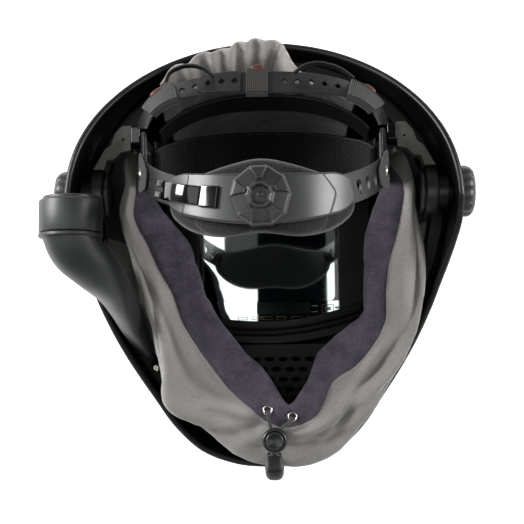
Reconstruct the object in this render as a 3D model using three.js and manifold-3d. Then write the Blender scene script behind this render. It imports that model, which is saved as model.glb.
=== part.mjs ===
// Powered respirator welding helmet, lying face down on its lens bezel.
// Millimetres. X runs across the face, Y toward the crown, and Z up, toward the back of the head.
// Heights in the tables below are measured from the axis of the two pivot knobs.
import * as THREE from "three";
import { mergeVertices } from "three/addons/utils/BufferGeometryUtils.js";
import Module from "manifold-3d";

const wasm = await Module();
wasm.setup();

// Fits
const GAP = 0.3;
const SEAM_GAP = 0.7;
const HOLE_CLEARANCE = 0.4;

// Shell
const PIVOT_HEIGHT = 160;
const SHELL_HALF_WIDTH = 123;
const CROWN_REACH = 111;
const CHIN_REACH = 180;
const WIDEST_Y = -6;
const SHELL_WALL = 2.5;
const FACE_HALF_WIDTH = 67;
const FACE_HALF_HEIGHT = 70;
const FACE_SQUARENESS = 3.2;
const FACE_Y = -25;
const SHELL_ABOVE_PIVOT = 40;
const RIM_TOP = 30;
const RIM_CHIN_DROP = 122;
const RIM_CROWN_DROP = 42;
const SHELL_AROUND = 48;

// Lens stack
const BEZEL_HALF_WIDTH = 64;
const BEZEL_HALF_HEIGHT = 66;
const BEZEL_DEPTH = 4.7;
const BEZEL_LIP = 2.2;
const WINDOW_HALF_WIDTH = 52;
const WINDOW_HALF_HEIGHT = 45;
const WINDOW_RADIUS = 8;
const COVER_SEAT = 5;
const OUTER_COVER = 1.5;
const CARTRIDGE_HALF_WIDTH = 66.5;
const CARTRIDGE_HALF_HEIGHT = 58;
const CARTRIDGE_DEPTH = 22;
const GLASS_HALF_WIDTH = 50;
const GLASS_HALF_HEIGHT = 42;
const GLASS_ABOVE_CENTRE = 9;
const GLASS_THICKNESS = 5;
const PANEL_HALF_WIDTH = 49;
const PANEL_HALF_HEIGHT = 9;
const PANEL_Y = -70;
const PANEL_THICKNESS = 1.2;
const INNER_COVER_HALF_WIDTH = 52;
const INNER_COVER_HALF_HEIGHT = 53;
const INNER_COVER = 1.5;
const LIP_HALF_WIDTH = 76;
const LIP_TOP = 12;
const LIP_WIDTH = 12;
const LIP_SAG = 16;
const LIP_HEIGHT = 11;

// Chin grille
const GRILLE_TOP_HALF = 54;
const GRILLE_LOW_HALF = 40;
const GRILLE_LENGTH = 58;
const GRILLE_THICKNESS = 2;
const SLOT_LENGTH = 7;
const SLOT_WIDTH = 3.2;
const SLOT_PITCH = 9.8;
const SLOT_ROW = 7.4;
const SLOT_ROWS = 5;
const SLOTS_IN_ROW = 7;

// Seal frame inside the shell
const FRAME_WIDTH = 9;
const FRAME_THICKNESS = 2.5;
const FRAME_DROP = 16;
const FRAME_BELOW_PIVOT = 26;

// Pivots
const PIVOT_Y = 3;
const HUB_SET_IN = 5.7;
const HUB_DEPTH = 17.8;
const HUB_OUTER_X = SHELL_HALF_WIDTH - HUB_SET_IN;
const HUB_INNER_X = HUB_OUTER_X - HUB_DEPTH;
const HUB_RADIUS = 16;
const HUB_FACE_RADIUS = 14;
const HUB_SIDES = 16;
const SHAFT_RADIUS = 6;
const SHAFT_DEPTH = 12;
const KNOB_X = SHELL_HALF_WIDTH;
const KNOB_DEPTH = 11;
const KNOB_RADIUS = 16.5;
const KNOB_LOBES = 10;
const ARM_THICKNESS = 12;
const ARM_BELOW = 4;

// Headband
const HEAD_HALF_WIDTH = 77.5;
const HEAD_BACK = 100;
const HEAD_FRONT = 95;
const BAND_SIDE_Y = 24;
const BAND_BACK_FALL = 39;
const BAND_FRONT_RISE = 16;
const BAND_THICKNESS = 1.8;
const BAND_WIDTH = 18;
const FRONT_BAND_WIDTH = 30;
const SIDE_PLATE_WIDTH = 28;
const SIDE_PLATE_Y = 26;
const SIDE_PLATE_THICKNESS = 2.4;
const SIDE_PLATE_BACK_DEGREES = 20;
const SIDE_PLATE_FRONT_DEGREES = -17;
const SWEATBAND_THICKNESS = 5;
const SWEATBAND_WIDTH = 42;
const SWEATBAND_END_WIDTH = 16;
const SWEATBAND_START_DEGREES = 12;
const CROWN_STRAP_WIDTH = 18;
const CROWN_STRAP_THICKNESS = 1.6;
const CROWN_BASE_Y = 20;
const CROWN_ROOM = 33;
const CROWN_STRAPS_APART = 3;
const CROWN_FRONT_RISE = CROWN_REACH + WIDEST_Y - CROWN_BASE_Y - CROWN_ROOM;
const CROWN_REAR_RISE = CROWN_FRONT_RISE - CROWN_STRAPS_APART;
const CROWN_REAR_Z = 30;
const CROWN_FRONT_Z = -40;
const CROWN_START_DEGREES = 16.2;
const DIAMOND = 4;
const DIAMOND_PITCH = 8.3;
const STRAP_BUTT_DEGREES = 96;
const SLEEVE_WALL = 1.6;
const SLEEVE_LENGTH = 18;

// Ratchet
const HOUSING_THICKNESS = 7;
const HOUSING_WIDTH = 28;
const HOUSING_START_DEGREES = 50;
const RATCHET_RADIUS = 17.5;
const RATCHET_DEPTH = 12;
const RATCHET_LUGS = 5;
const RATCHET_SPINDLE = 3;
const PAD_THICKNESS = 6;
const PAD_WIDTH = 37;
const PAD_START_DEGREES = 46;

// Air duct
const COLLAR_SET_IN = 7.5;
const COLLAR_X = COLLAR_SET_IN - SHELL_HALF_WIDTH;
const COLLAR_Z = 52;
const COLLAR_TOP_Y = -4.5;
const COLLAR_LENGTH = 22;
const COLLAR_RADIUS = 19;
const COLLAR_BORE = 15.5;
const DUCT_WALL = 2;
const DUCT_REACH = 70;
const DUCT_RADIUS = 18;
const DUCT_SIDES = 16;
const SCREW_RADIUS = 3;
const SCREW_APART = 4;

// Face seal
const SEAL_ASIDE = 0.0813;
const SEAL_X = SHELL_HALF_WIDTH * SEAL_ASIDE;
const SEAL_Y = -60;
const SEAL_SET_IN = 3;
const SEAL_REACH = SHELL_HALF_WIDTH - SEAL_SET_IN;
const SEAL_DROP = 75;
const CLOTH = 1.6;
const FLEECE = 3;
const COVER_CLOTH = 1.6;
const COVER_SET_IN = 12;
const COVER_CREST = CROWN_REACH + WIDEST_Y - COVER_SET_IN;
const COVER_HALF = 66;

// Draw cord
const CORD_RADIUS = 1.25;
const LOCK_RADIUS = 7.5;
const LOCK_HEIGHT = 10;
const LOCK_EDGE = 0.9;
const LOCK_FLOOR = 0.7;
const LOCK_SIDES = 14;
const BUTTON_RADIUS = 5.5;
const BUTTON_HEIGHT = 5;
const BUTTON_STROKE = 3;
const BUTTON_EDGE = 0.8;
const END_REACH = 26.5;
const END_FALL = 17.5;
const END_HALF_WIDTH = 5.6;
const END_HALF_DEPTH = 4;
const END_ASIDE = 0.6;
const GROMMET_RADIUS = 3.4;
const GROMMET_BORE = 1.9;
const GROMMET_HEIGHT = 1.2;

const vec = (x, y, z) => new THREE.Vector3(x, y, z);
const radians = THREE.MathUtils.degToRad;
const lerp = THREE.MathUtils.lerp;

// Bodies

function buffer(positions, index) {
  const geometry = new THREE.BufferGeometry();
  geometry.setAttribute("position", new THREE.Float32BufferAttribute(positions, 3));
  geometry.setIndex(index);
  return geometry;
}

function signedVolume(geometry) {
  const position = geometry.attributes.position;
  const corner = (k) => new THREE.Vector3().fromBufferAttribute(position, geometry.index.getX(k));
  let sum = 0;
  for (let k = 0; k < geometry.index.count; k += 3) {
    sum += corner(k).dot(corner(k + 1).cross(corner(k + 2)));
  }
  return sum / 6;
}

function flipped(geometry) {
  const index = Array.from(geometry.index.array);
  for (let k = 0; k < index.length; k += 3) {
    [index[k], index[k + 1]] = [index[k + 1], index[k]];
  }
  geometry.setIndex(index);
  return geometry;
}

function outward(geometry) {
  return signedVolume(geometry) < 0 ? flipped(geometry) : geometry;
}

function welded(geometry) {
  const bare = geometry.clone();
  bare.deleteAttribute("normal");
  bare.deleteAttribute("uv");
  return mergeVertices(bare, 1e-4);
}

function mirrored(geometry) {
  const copy = welded(geometry);
  copy.applyMatrix4(new THREE.Matrix4().makeScale(-1, 1, 1));
  return flipped(copy);
}

function solid(geometry) {
  const merged = welded(geometry);
  const vertProperties = new Float32Array(merged.attributes.position.array);
  const triVerts = new Uint32Array(merged.index.array);
  return new wasm.Manifold(new wasm.Mesh({ numProp: 3, vertProperties, triVerts }));
}

function shape(body) {
  const mesh = body.getMesh();
  return buffer(Array.from(mesh.vertProperties), Array.from(mesh.triVerts));
}

function cut(geometry, cutters) {
  let body = solid(geometry);
  for (const cutter of cutters) {
    body = body.subtract(solid(cutter));
  }
  return shape(body);
}

function joined(geometries) {
  return shape(geometries.map(solid).reduce((sum, next) => sum.add(next)));
}

// Sections of equal length make a body. A looped row closes on itself, an open one has two caps.
function sectionBody(sections, looped) {
  const size = sections[0].length;
  const count = sections.length;
  const index = [];
  const spans = looped ? count : count - 1;
  for (let i = 0; i < spans; i += 1) {
    const next = (i + 1) % count;
    for (let j = 0; j < size; j += 1) {
      const turn = (j + 1) % size;
      index.push(i * size + j, next * size + j, i * size + turn);
      index.push(i * size + turn, next * size + j, next * size + turn);
    }
  }
  if (!looped) {
    const last = (count - 1) * size;
    for (let j = 0; j < size / 2 - 1; j += 1) {
      const far = size - 1 - j;
      index.push(j, j + 1, far - 1, j, far - 1, far);
      index.push(last + j + 1, last + j, last + far - 1, last + far - 1, last + j, last + far);
    }
  }
  const positions = sections.flat().flatMap((point) => [point.x, point.y, point.z]);
  return outward(buffer(positions, index));
}

// A round or lobed body: rings along Z with a centre point at each end.
function spindle(rings) {
  const size = rings[0].length;
  const index = [];
  const positions = rings.flat().flatMap((point) => [point.x, point.y, point.z]);
  const foot = rings.length * size;
  const last = (rings.length - 1) * size;
  positions.push(0, 0, rings[0][0].z, 0, 0, rings[rings.length - 1][0].z);
  for (let j = 0; j < size; j += 1) {
    const turn = (j + 1) % size;
    for (let i = 0; i < rings.length - 1; i += 1) {
      index.push(i * size + j, i * size + turn, (i + 1) * size + j);
      index.push(i * size + turn, (i + 1) * size + turn, (i + 1) * size + j);
    }
    index.push(foot, turn, j, foot + 1, last + j, last + turn);
  }
  return outward(buffer(positions, index));
}

// The surface grid runs round in its first index and across in its second.
function surfaceNormal(grid, i, k, looped) {
  const count = grid.length;
  const before = looped ? (i + count - 1) % count : Math.max(i - 1, 0);
  const after = looped ? (i + 1) % count : Math.min(i + 1, count - 1);
  const across = grid[i].length - 1;
  const along = grid[after][k].clone().sub(grid[before][k]);
  const over = grid[i][Math.min(k + 1, across)].clone().sub(grid[i][Math.max(k - 1, 0)]);
  return along.cross(over).normalize();
}

// A wall on a surface grid: outer and inner are signed distances along the surface's normal.
function wall(grid, outer, inner, looped) {
  const sections = grid.map((row, i) => {
    const move = (distance) => row.map((point, k) =>
      point.clone().addScaledVector(surfaceNormal(grid, i, k, looped), distance));
    return [...move(outer), ...move(inner).reverse()];
  });
  return sectionBody(sections, looped);
}

// A strap of rectangular section: path points, and the direction across it at each of them.
function strap(points, hints, widths, thickness) {
  const sections = points.map((point, i) => {
    const before = points[Math.max(i - 1, 0)];
    const after = points[Math.min(i + 1, points.length - 1)];
    const along = after.clone().sub(before).normalize();
    const across = hints[i].clone().addScaledVector(along, -hints[i].dot(along)).normalize();
    const out = along.clone().cross(across);
    const corner = (side, face) => point.clone()
      .addScaledVector(across, (side * widths[i]) / 2)
      .addScaledVector(out, (face * thickness) / 2);
    return [corner(1, 1), corner(1, -1), corner(-1, -1), corner(-1, 1)];
  });
  return sectionBody(sections, false);
}

function prism(outline, depth) {
  const flat = new THREE.Shape(outline.map(([x, y]) => new THREE.Vector2(x, y)));
  return new THREE.ExtrudeGeometry(flat, { depth, bevelEnabled: false, curveSegments: 4 });
}

// Puts a body drawn round Z at a point, with its own X and Y along two given directions.
function placed(geometry, origin, alongX, alongY) {
  const alongZ = alongX.clone().cross(alongY).normalize();
  const basis = new THREE.Matrix4().makeBasis(alongX, alongY, alongZ).setPosition(origin);
  return geometry.applyMatrix4(basis);
}

function squareRadius(angle, halfWidth, halfHeight, squareness) {
  const wide = (Math.abs(Math.cos(angle)) / halfWidth) ** squareness;
  const tall = (Math.abs(Math.sin(angle)) / halfHeight) ** squareness;
  return (wide + tall) ** (-1 / squareness);
}

function roundedRectangle(halfWidth, halfHeight, radius) {
  const outline = [];
  for (let corner = 0; corner < 4; corner += 1) {
    const signX = corner === 0 || corner === 3 ? 1 : -1;
    const signY = corner < 2 ? 1 : -1;
    for (let step = 0; step <= 4; step += 1) {
      const angle = radians(corner * 90 + step * 22.5);
      const x = signX * (halfWidth - radius) + radius * Math.cos(angle);
      const y = signY * (halfHeight - radius) + radius * Math.sin(angle);
      outline.push({ x, y, outX: Math.cos(angle), outY: Math.sin(angle) });
    }
  }
  return outline;
}

function slab(halfWidth, halfHeight, radius, centreY, floor, thickness) {
  const outline = roundedRectangle(halfWidth, halfHeight, radius);
  return prism(outline.map((place) => [place.x, place.y]), thickness).translate(0, centreY, floor);
}

function turned(profile, sides) {
  const points = profile.map(([radius, height]) => new THREE.Vector2(radius, height));
  return outward(welded(new THREE.LatheGeometry(points, sides)));
}

// Shell

const FACE_Z = -PIVOT_HEIGHT + BEZEL_DEPTH + GAP;
const SHELL_DEPTH = SHELL_ABOVE_PIVOT - FACE_Z;

// The jaw below the widest line, from the side to the chin: shares of half width and chin reach.
const JAW = [
  { wide: 1.0, down: 0.0 },
  { wide: 0.993, down: 0.066 },
  { wide: 0.972, down: 0.131 },
  { wide: 0.944, down: 0.202 },
  { wide: 0.91, down: 0.273 },
  { wide: 0.866, down: 0.366 },
  { wide: 0.806, down: 0.47 },
  { wide: 0.729, down: 0.579 },
  { wide: 0.638, down: 0.694 },
  { wide: 0.539, down: 0.814 },
  { wide: 0.395, down: 0.926 },
  { wide: 0.2, down: 0.986 },
  { wide: 0.0, down: 1.0 },
];

// How far each height has spread from the face's outline to the full one, at crown, side and chin.
const SPREAD = [
  { up: 0.0, crown: 0.0, side: 0.0, chin: 0.0 },
  { up: 0.006, crown: 0.22, side: 0.22, chin: 0.25 },
  { up: 0.087, crown: 0.42, side: 0.5, chin: 0.5 },
  { up: 0.205, crown: 0.6, side: 0.72, chin: 0.78 },
  { up: 0.359, crown: 0.78, side: 0.87, chin: 0.91 },
  { up: 0.538, crown: 0.9, side: 0.95, chin: 0.96 },
  { up: 0.795, crown: 0.985, side: 0.99, chin: 0.99 },
  { up: 1.0, crown: 1.0, side: 1.0, chin: 1.0 },
];

// The rim's fall from its top beside the pivots, as shares, toward the chin and toward the crown.
const RIM_TO_CHIN = [
  { along: 0.0, fall: 0.016 },
  { along: 0.098, fall: 0.082 },
  { along: 0.197, fall: 0.205 },
  { along: 0.295, fall: 0.311 },
  { along: 0.508, fall: 0.541 },
  { along: 0.732, fall: 0.77 },
  { along: 0.951, fall: 0.967 },
  { along: 1.03, fall: 1.0 },
];
const RIM_TO_CROWN = [
  { along: 0.182, fall: 0.0 },
  { along: 0.327, fall: 0.05 },
  { along: 0.527, fall: 0.25 },
  { along: 0.7, fall: 0.5 },
  { along: 0.864, fall: 0.75 },
  { along: 1.04, fall: 1.0 },
];

function tableValue(rows, key, column, at) {
  const inside = THREE.MathUtils.clamp(at, rows[0][key], rows[rows.length - 1][key]);
  const next = Math.max(1, rows.findIndex((row) => row[key] >= inside));
  const low = rows[next - 1];
  const high = rows[next];
  return lerp(low[column], high[column], (inside - low[key]) / (high[key] - low[key]));
}

function rimHeight(y) {
  const along = y < WIDEST_Y ? (WIDEST_Y - y) / CHIN_REACH : (y - WIDEST_Y) / CROWN_REACH;
  return y < WIDEST_Y
    ? RIM_TOP - RIM_CHIN_DROP * tableValue(RIM_TO_CHIN, "along", "fall", along)
    : RIM_TOP - RIM_CROWN_DROP * tableValue(RIM_TO_CROWN, "along", "fall", along);
}

function fullOutline(i) {
  const half = SHELL_AROUND / 2;
  const angle = (Math.PI * i) / half;
  if (i <= half) {
    const y = WIDEST_Y + CROWN_REACH * Math.sin(angle);
    return new THREE.Vector2(SHELL_HALF_WIDTH * Math.cos(angle), y);
  }
  const left = i <= half * 1.5;
  const row = JAW[left ? i - half : SHELL_AROUND - i];
  const x = (left ? -1 : 1) * SHELL_HALF_WIDTH * row.wide;
  return new THREE.Vector2(x, WIDEST_Y - CHIN_REACH * row.down);
}

function faceOutline(i, halfWidth, halfHeight, squareness) {
  const angle = (2 * Math.PI * i) / SHELL_AROUND;
  const radius = squareRadius(angle, halfWidth, halfHeight, squareness);
  return new THREE.Vector2(radius * Math.cos(angle), FACE_Y + radius * Math.sin(angle));
}

// A point of the shell's outer skin at one of its places around and at a height.
function shellPoint(i, z) {
  const up = (z - FACE_Z) / SHELL_DEPTH;
  const slant = Math.sin((2 * Math.PI * i) / SHELL_AROUND);
  const end = slant > 0 ? "crown" : "chin";
  const side = tableValue(SPREAD, "up", "side", up);
  const share = lerp(side, tableValue(SPREAD, "up", end, up), slant ** 2);
  const face = faceOutline(i, FACE_HALF_WIDTH, FACE_HALF_HEIGHT, FACE_SQUARENESS);
  const flat = face.lerp(fullOutline(i), share);
  return vec(flat.x, flat.y, z);
}

function outlineNormal(i) {
  const before = fullOutline((i + SHELL_AROUND - 1) % SHELL_AROUND);
  const after = fullOutline((i + 1) % SHELL_AROUND);
  return vec(after.y - before.y, before.x - after.x, 0).normalize();
}

function shellBody() {
  const grid = [];
  const windowX = WINDOW_HALF_WIDTH + COVER_SEAT + 1;
  const windowY = WINDOW_HALF_HEIGHT + COVER_SEAT;
  for (let i = 0; i < SHELL_AROUND; i += 1) {
    const hole = faceOutline(i, windowX, windowY, 8);
    const column = [vec(hole.x, hole.y, FACE_Z)];
    for (const row of SPREAD) {
      column.push(shellPoint(i, FACE_Z + row.up * SHELL_DEPTH));
    }
    grid.push(column);
  }
  const skin = wall(grid, 0, -SHELL_WALL, true);
  const rim = [];
  for (let k = RIM_TO_CHIN.length - 1; k >= 0; k -= 1) {
    const y = WIDEST_Y - CHIN_REACH * RIM_TO_CHIN[k].along;
    rim.push([y, rimHeight(y)]);
  }
  for (const row of RIM_TO_CROWN) {
    const y = WIDEST_Y + CROWN_REACH * row.along;
    rim.push([y, rimHeight(y)]);
  }
  const above = 2 * SHELL_ABOVE_PIVOT;
  rim.push([rim[rim.length - 1][0], above], [rim[0][0], above]);
  const width = 3 * SHELL_HALF_WIDTH;
  const cap = placed(prism(rim, width), vec(-width / 2, 0, 0), vec(0, 1, 0), vec(0, 0, 1));
  const bore = new THREE.CylinderGeometry(SHAFT_RADIUS + HOLE_CLEARANCE, SHAFT_RADIUS + HOLE_CLEARANCE, width, 16);
  bore.rotateZ(Math.PI / 2).translate(0, PIVOT_Y, 0);
  return cut(skin, [cap, bore]);
}

// Lens stack

const SHELL_FACE_IN = FACE_Z + SHELL_WALL;
const CARTRIDGE_Z = SHELL_FACE_IN + 2 * GAP + 0.1;
const CARTRIDGE_TOP = CARTRIDGE_Z + CARTRIDGE_DEPTH;
const CARTRIDGE_Y = FACE_Y - 1;
const GLASS_Y = CARTRIDGE_Y + GLASS_ABOVE_CENTRE;
const INNER_COVER_Z = CARTRIDGE_TOP + PANEL_THICKNESS + 2 * GAP;

function bezelBody() {
  const outline = roundedRectangle(WINDOW_HALF_WIDTH, WINDOW_HALF_HEIGHT, WINDOW_RADIUS);
  const floor = -PIVOT_HEIGHT;
  const rimX = BEZEL_HALF_WIDTH - WINDOW_HALF_WIDTH;
  const rimY = BEZEL_HALF_HEIGHT - WINDOW_HALF_HEIGHT;
  const outer = (place) => rimX * Math.abs(place.outX) ** 2 + rimY * Math.abs(place.outY) ** 2;
  const seat = COVER_SEAT - GAP;
  const sections = outline.map((place) => {
    const far = outer(place);
    const profile = [
      [0, floor],
      [far - 1.5, floor],
      [far, floor + 1.5],
      [far, floor + BEZEL_DEPTH],
      [seat, floor + BEZEL_DEPTH],
      [seat, floor + BEZEL_LIP],
      [0, floor + BEZEL_LIP],
    ];
    return profile.map(([out, height]) =>
      vec(place.x + place.outX * out, FACE_Y + place.y + place.outY * out, height));
  });
  return sectionBody(sections, true);
}

function outerCoverBody() {
  const edge = COVER_SEAT - 2 * GAP;
  const floor = -PIVOT_HEIGHT + BEZEL_LIP + GAP;
  const halfWidth = WINDOW_HALF_WIDTH + edge;
  const halfHeight = WINDOW_HALF_HEIGHT + edge;
  return slab(halfWidth, halfHeight, WINDOW_RADIUS + edge, FACE_Y, floor, OUTER_COVER);
}

function cartridgeBody() {
  const block = slab(CARTRIDGE_HALF_WIDTH, CARTRIDGE_HALF_HEIGHT, 9, CARTRIDGE_Y, CARTRIDGE_Z, CARTRIDGE_DEPTH);
  const hole = slab(GLASS_HALF_WIDTH, GLASS_HALF_HEIGHT, 4, GLASS_Y, CARTRIDGE_Z - 1, CARTRIDGE_DEPTH + 2);
  return cut(block, [hole]);
}

function glassBody() {
  const floor = CARTRIDGE_Z + CARTRIDGE_DEPTH / 2 - GLASS_THICKNESS / 2;
  return slab(GLASS_HALF_WIDTH - GAP, GLASS_HALF_HEIGHT - GAP, 4, GLASS_Y, floor, GLASS_THICKNESS);
}

function panelBody() {
  const floor = CARTRIDGE_TOP + GAP;
  return slab(PANEL_HALF_WIDTH, PANEL_HALF_HEIGHT, 3, PANEL_Y, floor, PANEL_THICKNESS);
}

function innerCoverBody() {
  return slab(INNER_COVER_HALF_WIDTH, INNER_COVER_HALF_HEIGHT, 5, CARTRIDGE_Y, INNER_COVER_Z, INNER_COVER);
}

// The holding frame round the inner cover: its lower lip hangs like a smile below the lens.
function holdingFrameBody() {
  const top = CARTRIDGE_Y + INNER_COVER_HALF_HEIGHT + LIP_TOP;
  const low = CARTRIDGE_Y - INNER_COVER_HALF_HEIGHT - GAP - LIP_WIDTH;
  const smile = (x) => low + LIP_SAG * (x / LIP_HALF_WIDTH) ** 2;
  const outline = [];
  for (let k = 0; k <= 12; k += 1) {
    const x = LIP_HALF_WIDTH * (k / 6 - 1);
    outline.push([x, smile(x)]);
  }
  outline.push([LIP_HALF_WIDTH, top - 14], [LIP_HALF_WIDTH - 14, top]);
  outline.push([14 - LIP_HALF_WIDTH, top], [-LIP_HALF_WIDTH, top - 14]);
  const floor = CARTRIDGE_TOP + GAP;
  const plate = prism(outline, LIP_HEIGHT).translate(0, 0, floor);
  const holeX = INNER_COVER_HALF_WIDTH + GAP;
  const holeY = INNER_COVER_HALF_HEIGHT + GAP;
  const hole = slab(holeX, holeY, 5, CARTRIDGE_Y, floor - 1, LIP_HEIGHT + 2);
  return cut(plate, [hole]);
}

// Chin grille

function slotOutline() {
  const half = SLOT_LENGTH / 2;
  const tip = SLOT_WIDTH / 2;
  return [[half, 0], [half - tip, tip], [tip - half, tip], [-half, 0], [tip - half, -tip], [half - tip, -tip]];
}

function grilleBody() {
  const top = CARTRIDGE_Y - INNER_COVER_HALF_HEIGHT - GAP - LIP_WIDTH - GAP;
  const low = top - GRILLE_LENGTH;
  const floor = CARTRIDGE_TOP + LIP_HEIGHT - GRILLE_THICKNESS;
  const corner = 12;
  const outline = [
    [-GRILLE_TOP_HALF, top],
    [-GRILLE_LOW_HALF, low + corner],
    [-GRILLE_LOW_HALF + corner, low],
    [GRILLE_LOW_HALF - corner, low],
    [GRILLE_LOW_HALF, low + corner],
    [GRILLE_TOP_HALF, top],
  ];
  const plate = prism(outline, GRILLE_THICKNESS).translate(0, 0, floor);
  const cutters = [];
  for (let row = 0; row < SLOT_ROWS; row += 1) {
    const count = SLOTS_IN_ROW - (row % 2);
    for (let k = 0; k < count; k += 1) {
      const x = (k - (count - 1) / 2) * SLOT_PITCH;
      const y = top - 11 - row * SLOT_ROW;
      cutters.push(prism(slotOutline(), 3 * GRILLE_THICKNESS).translate(x, y, floor - GRILLE_THICKNESS));
    }
  }
  return cut(plate, cutters);
}

// Seal frame: a flat flange round the inside of the shell, below the hubs

function sealFrameHeight(y) {
  return Math.min(rimHeight(y) - FRAME_DROP, -FRAME_BELOW_PIVOT);
}

function sealFrameEdge(i, inset) {
  const height = sealFrameHeight(fullOutline(i).y);
  return shellPoint(i, height).addScaledVector(outlineNormal(i), -inset);
}

const FRAME_INSET = SHELL_WALL + 3 * GAP;

function sealFrameBody() {
  const sections = [];
  for (let i = 0; i < SHELL_AROUND; i += 1) {
    const outer = sealFrameEdge(i, FRAME_INSET);
    const inner = sealFrameEdge(i, FRAME_INSET + FRAME_WIDTH);
    const lift = vec(0, 0, FRAME_THICKNESS / 2);
    sections.push([
      outer.clone().add(lift),
      inner.clone().add(lift),
      inner.clone().sub(lift),
      outer.clone().sub(lift),
    ]);
  }
  return sectionBody(sections, true);
}

// The left side of the frame's upper face, at a place along Y and a share of its width.
function framePlace(y, share) {
  const half = SHELL_AROUND / 2;
  const line = [];
  for (let i = half; i <= 1.5 * half; i += 1) {
    line.push(sealFrameEdge(i, FRAME_INSET + share * FRAME_WIDTH));
  }
  const next = line.findIndex((point) => point.y <= y);
  const above = line[next - 1];
  const below = line[next];
  const place = above.clone().lerp(below, (above.y - y) / (above.y - below.y));
  place.z += FRAME_THICKNESS / 2;
  const slope = (above.z - below.z) / (above.y - below.y);
  return { place, normal: vec(0, -slope, 1).normalize() };
}

function restingOn({ place, normal }, height) {
  return place.clone().addScaledVector(normal, height);
}

// Pivots: each is made for the right side and mirrored for the left

function aboutPivot(geometry, x) {
  return placed(geometry, vec(x, PIVOT_Y, 0), vec(0, 1, 0), vec(0, 0, 1));
}

function hubBody() {
  const bore = SHAFT_RADIUS + GAP;
  const profile = [
    [0, 0],
    [HUB_FACE_RADIUS - 1.5, 0],
    [HUB_FACE_RADIUS, 1],
    [HUB_FACE_RADIUS, 2],
    [HUB_RADIUS, 3],
    [HUB_RADIUS, 10.5],
    [HUB_FACE_RADIUS - 3, 11.5],
    [HUB_FACE_RADIUS - 3, HUB_DEPTH],
    [bore, HUB_DEPTH],
    [bore, HUB_DEPTH - SHAFT_DEPTH + 4],
    [0, HUB_DEPTH - SHAFT_DEPTH + 4],
  ];
  const body = turned(profile, HUB_SIDES).rotateX(Math.PI / 2);
  return aboutPivot(body, HUB_INNER_X);
}

function lobedRing(radius, dip, height) {
  const ring = [];
  const count = 2 * KNOB_LOBES;
  for (let k = 0; k < count; k += 1) {
    const reach = k % 2 === 0 ? radius : radius - dip;
    const angle = (2 * Math.PI * k) / count;
    ring.push(vec(reach * Math.cos(angle), reach * Math.sin(angle), height));
  }
  return ring;
}

function pivotKnobBody() {
  const head = spindle([
    lobedRing(KNOB_RADIUS, 1.2, 0),
    lobedRing(KNOB_RADIUS, 1.2, KNOB_DEPTH * 0.6),
    lobedRing(KNOB_RADIUS * 0.86, 1.0, KNOB_DEPTH * 0.93),
    lobedRing(KNOB_RADIUS * 0.72, 0.6, KNOB_DEPTH),
  ]);
  const shaft = new THREE.CylinderGeometry(SHAFT_RADIUS, SHAFT_RADIUS, SHAFT_DEPTH + 1, 16);
  shaft.rotateX(Math.PI / 2).translate(0, 0, (1 - SHAFT_DEPTH) / 2);
  return aboutPivot(joined([head, shaft]), KNOB_X);
}

const PLATE_OUTER_X = HEAD_HALF_WIDTH + SIDE_PLATE_THICKNESS / 2;
const BLOCK_WIDTH = 6;
const BLOCK_LOW = 36;
const BLOCK_HIGH = 46.5;
const ARM_START_X = PLATE_OUTER_X + BLOCK_WIDTH + 2 * GAP;

function armBody() {
  const drumTop = PIVOT_Y + HUB_RADIUS + GAP;
  const reach = (share) => lerp(ARM_START_X, HUB_INNER_X, share);
  const outline = [
    [reach(0), BLOCK_HIGH + 1],
    [reach(0), BLOCK_LOW - 4.5],
    [reach(0.41), BLOCK_LOW - 5.5],
    [reach(0.75), BLOCK_LOW - 10],
    [HUB_INNER_X + 1, drumTop + 6],
    [HUB_INNER_X + 3, drumTop],
    [HUB_INNER_X + 10, drumTop],
    [HUB_INNER_X + 6.5, drumTop + 6],
    [HUB_INNER_X + 2.5, drumTop + 13],
    [reach(0.9), BLOCK_LOW - 1],
    [reach(0.69), BLOCK_LOW + 7],
    [reach(0.39), BLOCK_HIGH + 1],
  ];
  const plate = prism(outline, ARM_THICKNESS).translate(0, 0, -ARM_BELOW);
  const hole = new THREE.CylinderGeometry(0.8, 0.8, 2 * ARM_THICKNESS, 8);
  hole.rotateX(Math.PI / 2).translate(reach(0.34), BLOCK_LOW + 2.5, ARM_THICKNESS);
  return cut(plate, [hole]);
}

function slideBlockBody() {
  const outline = [
    [PLATE_OUTER_X + GAP, BLOCK_LOW],
    [ARM_START_X - GAP, BLOCK_LOW],
    [ARM_START_X - GAP, BLOCK_HIGH],
    [PLATE_OUTER_X + GAP, BLOCK_HIGH],
  ];
  return prism(outline, 10).translate(0, 0, 0);
}

// Headband: an ellipse round the head, lower at the back

function bandPoint(degrees, outset, y) {
  const angle = radians(degrees);
  const depth = degrees >= 0 ? HEAD_BACK : HEAD_FRONT;
  const rise = degrees >= 0 ? -BAND_BACK_FALL : -BAND_FRONT_RISE;
  const height = y ?? BAND_SIDE_Y + rise * Math.sin(angle);
  const x = (HEAD_HALF_WIDTH + outset) * Math.cos(angle);
  return vec(x, height, (depth + outset) * Math.sin(angle));
}

function steps(from, to, count) {
  return Array.from({ length: count + 1 }, (_, k) => lerp(from, to, k / count));
}

function bandStrap({ from, to, count, outset, width, thickness, y }) {
  const turns = steps(from, to, count);
  const points = turns.map((turn) => bandPoint(turn, outset, y));
  const hints = turns.map(() => vec(0, 1, 0));
  const widths = turns.map((turn, k) => width(k / count));
  return strap(points, hints, widths, thickness);
}

function sidePlateBody() {
  return bandStrap({
    from: SIDE_PLATE_FRONT_DEGREES,
    to: SIDE_PLATE_BACK_DEGREES,
    count: 6,
    outset: 0,
    width: () => SIDE_PLATE_WIDTH,
    thickness: SIDE_PLATE_THICKNESS,
    y: SIDE_PLATE_Y,
  });
}

const BUTT_DEGREES = 1.1;

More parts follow.
